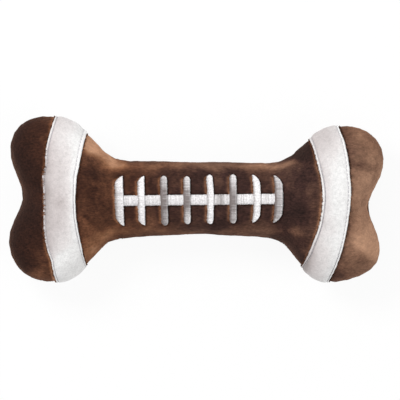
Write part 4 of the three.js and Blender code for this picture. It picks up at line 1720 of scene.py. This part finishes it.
def closing_seam():
    spots = np.flatnonzero((np.abs(rim.points[:, 0]) < CLOSING_REACH) & (rim.points[:, 1] < 0))
    spots = spots[np.argsort(rim.points[spots, 0])]
    order = rim.points[spots]
    run = path_run(order)
    store = Gathered()
    place = 0
    while place < run[-1]:
        at, out = read_at(order, run, place), read_at(-rim.inward[spots], run, place)
        path = [at + np.array([along, 0, up]) * MM + out * deep * MM for along, up, deep in CLOSING_PATH]
        store.tube(path, CLOSING_RADIUS, THREAD_SIDES)
        place += CLOSING_STEP
    finished("closing_seam", store.mesh("closing_seam"), CLOSING_THREAD, "brown_velour")


def by_strip(point, end):
    """Whether a place on the seam lies on a strip or close beside it."""
    past = across_band(point[None], end)[0]
    return band_side(point[None], end)[0] and -BESIDE_STRIP < past < BANDS[end]["width"] + BESIDE_STRIP


def seam_pile():
    """Short pile that stands out of the seam, on the velour only."""
    store = Gathered()
    rng = random.Random(19)
    lighter = lighter_pile(rim.points, -rim.inward)
    for _ in range(int(rim.length / MM * SEAM_TUFTS_PER_MM)):
        index = rng.randrange(len(rim.points))
        at = rim.points[index]
        if any(by_strip(at, end) for end in BANDS):
            continue
        out = -rim.inward[index]
        hint = np.array([0, 0, rng.choice((-1.0, 1.0))])
        spot = at - out * SEAM_ROOT + hint * rng.uniform(0.1, 0.7) * MM
        add_tuft(store, rng, spot, out, hint, SEAM_LAP, SEAM_TUFT, lighter[index])
    finished("seam_pile", store.mesh("seam_pile", "nap"), VELOUR, "brown_velour")


closing_seam()
seam_pile()


# Felt, stuffing and squeaker

FELT_DEPTH = 2.6 * MM
FELT_THICKNESS = 0.5 * MM
FELT_MARGIN = 2.5 * MM
FELT_ROWS = 90
FELT_COLUMNS = 30
FILL_VOXEL = 2.2 * MM
FILL_CLEAR = 3.4 * MM
FILL_TUFTS = [(9 * MM, 1.1 * MM), (4 * MM, 0.5 * MM)]
# The tufts' noise is lowered by this, so that they draw in
FILL_DRAW = 0.6
PLEATS = 3
PLEAT_STEPS = 18
PLEAT_DEPTH = 3 * MM
PLEAT_WALL = 0.9 * MM
PLEAT_ROUND = 0.85
TURNED_SIDES = 72


def felt_backing():
    """The stiffening felt under the laces, a step inside the velour."""
    half_long = SPINE_REACH + LACES[-1].wide * MM / 2 + FELT_MARGIN
    half_wide = LACE_LENGTH / 2 + FELT_MARGIN
    top, under = [], []
    for along in np.linspace(-half_long, half_long, FELT_ROWS):
        lane = np.linspace(-half_wide, half_wide, FELT_COLUMNS)
        row = [on_face(LACE_CENTRE + ALONG * along + ACROSS * across) for across in lane]
        for rows, deep in ((top, FELT_DEPTH), (under, FELT_DEPTH + FELT_THICKNESS)):
            rows.append(np.array([place - out * deep for place, out in row]))
    mesh = strip_mesh("felt_backing", top, under)
    finished("felt_backing", mesh, FELT, "backing_felt", "lace_backing")


def filling(node):
    """One portion of stuffing: matted fibre, drawn in from the cloth and from its neighbours."""
    mesh = with_modifiers(
        frame["nodes"][node].data.copy(),
        ("REMESH", {"mode": "VOXEL", "voxel_size": FILL_VOXEL}),
        ("SMOOTH", {"factor": 0.5, "iterations": 3}),
    )
    points = coords(mesh)
    layers = enumerate(FILL_TUFTS)
    tufts = sum(depth * (ripple(points, size, 130 + i) - FILL_DRAW) for i, (size, depth) in layers)
    points += normals(mesh) * tufts[:, None]
    for index, point in enumerate(points):
        place, out, _, _ = surface_tree.find_nearest(Vector(point))
        if (place - Vector(point)).dot(out) < FILL_CLEAR:
            points[index] = place - out * FILL_CLEAR
    set_coords(mesh, points)
    shade_smooth(mesh)
    obj = finished(node.replace("fill_", "stuffing_"), mesh, FIBRE, "fibre_fill", node)
    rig.padded(obj, fill=0.8)


def turned(profile):
    """A closed wall turned round the squeaker's axis, from [radius, height] corners."""
    low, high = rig.box("squeaker_base")
    centre = (low + high) / 2
    rings = []
    for turn in np.arange(TURNED_SIDES) * math.tau / TURNED_SIDES:
        x, y = math.cos(turn), math.sin(turn)
        rings.append(np.array([(centre.x + r * x, centre.y + r * y, h) for r, h in profile]))
    rings.append(rings[0])
    mesh = ring_mesh("turned", rings)
    with edited(mesh) as body:
        bmesh.ops.remove_doubles(body, verts=body.verts, dist=HAIR)
        bmesh.ops.recalc_face_normals(body, faces=body.faces)
    shade_smooth(mesh)
    return mesh


def bellows():
    """The pleated wall, with rounded folds. It folds up as the cap is pressed."""
    low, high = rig.box("squeaker_bellows")
    radius = (high.x - low.x) / 2
    steps = PLEAT_STEPS * PLEATS
    outer, inner = [], []
    for step in range(steps + 1):
        share = step / steps
        wave = (0.5 - 0.5 * math.cos(math.tau * PLEATS * share)) ** PLEAT_ROUND
        at = radius - PLEAT_DEPTH * wave
        height = low.z + (high.z - low.z) * share
        outer.append((at, height))
        inner.append((at - PLEAT_WALL, height))
    wall = turned(outer + inner[::-1])
    obj = finished("squeaker_pleats", wall, SOFT_PLASTIC, "soft_plastic", "squeaker_bellows")
    keep = 1 - PRESS_DEPTH / (high.z - low.z)
    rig.squash(obj, PRESS_JOINT, axis=(0, 0, 1), anchor=(0, 0, low.z), keep=keep)


felt_backing()
for node in sorted(frame["nodes"]):
    if node.startswith("fill_"):
        filling(node)
bellows()

for node, material in (
    ("squeaker_base", SOFT_PLASTIC),
    ("squeaker_cap", SOFT_PLASTIC),
    ("reed_barrel", HARD_PLASTIC),
    ("reed_seat", HARD_PLASTIC),
    ("reed_clip", HARD_PLASTIC),
    ("reed", REED_FILM),
):
    mesh = frame["nodes"][node].data
    mesh.materials.clear()
    mesh.materials.append(material)

# The whole toy flattens a little as the squeaker is pressed
PRESS_KEEP = 1 - PRESS_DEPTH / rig.box("front_band_left")[1].z
for piece in [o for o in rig.pieces() if "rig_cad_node" not in o and "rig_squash" not in o]:
    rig.squash(piece, PRESS_JOINT, axis=(0, 0, 1), anchor=(0, 0, 0), keep=PRESS_KEEP)


# Floor, light and camera

PICTURE_WIDTH = 400 * 0.7467 * MM
CAMERA_AT = (2.84 * MM, -0.82 * MM)
CAMERA_RISE = 6
SENSOR = 36
WHITE = (1, 1, 1, 1)
FLOOR_SIZE = 6
# How much of the floor's look is plain white to the camera. The rest takes the toy's shadow.
FLOOR_WHITE = 0.92
WORLD_LIGHT = 0.55

camera = new_object("camera", bpy.data.cameras.new("camera"))
camera.location = (*CAMERA_AT, SEAM + CAMERA_RISE)
camera.data.sensor_width = SENSOR
camera.data.lens = SENSOR * CAMERA_RISE / PICTURE_WIDTH
scene.camera = camera


def floor_material():
    m = Material("floor")
    lit = m.add("ShaderNodeEmission", {"Color": WHITE, "Strength": 1})
    rays = m.add("ShaderNodeLightPath")
    seen = m.maths("MAXIMUM", (rays, "Is Camera Ray"), (rays, "Is Glossy Ray"))
    seen = m.maths("MAXIMUM", seen, (rays, "Is Transmission Ray"))
    both = m.add("ShaderNodeMixShader")
    m.wire(m.maths("MULTIPLY", seen, FLOOR_WHITE), both, "Fac")
    m.wire((m.shader, "BSDF"), both, 1)
    m.wire((lit, "Emission"), both, 2)
    m.wire((both, "Shader"), m.output, "Surface")
    m.set(Base_Color=grey(0.9), Roughness=0.9, Specular_IOR_Level=0.1)
    return m.material


bpy.ops.mesh.primitive_plane_add(size=FLOOR_SIZE, location=(0, 0, 0))
floor = bpy.context.object
floor.name = "floor"
floor.data.materials.append(floor_material())
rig.stage(floor)

world = bpy.data.worlds.new("world")
scene.world = world
world.use_nodes = True
background = world.node_tree.nodes["Background"]
background.inputs["Color"].default_value = WHITE
background.inputs["Strength"].default_value = WORLD_LIGHT


def lamp(name, at, size, power):
    """A soft round lamp that faces the toy."""
    light = bpy.data.lights.new(name, "AREA")
    light.shape = "DISK"
    light.size = size
    light.energy = power
    obj = new_object(name, light)
    obj.location = at
    obj.rotation_euler = (Vector((0, 0, SEAM)) - Vector(at)).to_track_quat("-Z", "Y").to_euler()


lamp("key", (-0.6, 0.5, 0.95), 0.5, 9.5)
lamp("fill", (0.7, -0.3, 0.9), 0.9, 3.5)

scene.view_settings.view_transform = "Standard"

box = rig.bounds()
with open("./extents.json", "w") as out:
    json.dump({"cad": [list(c) for c in cad_box], "visual": [list(c) for c in box]}, out, indent=1)
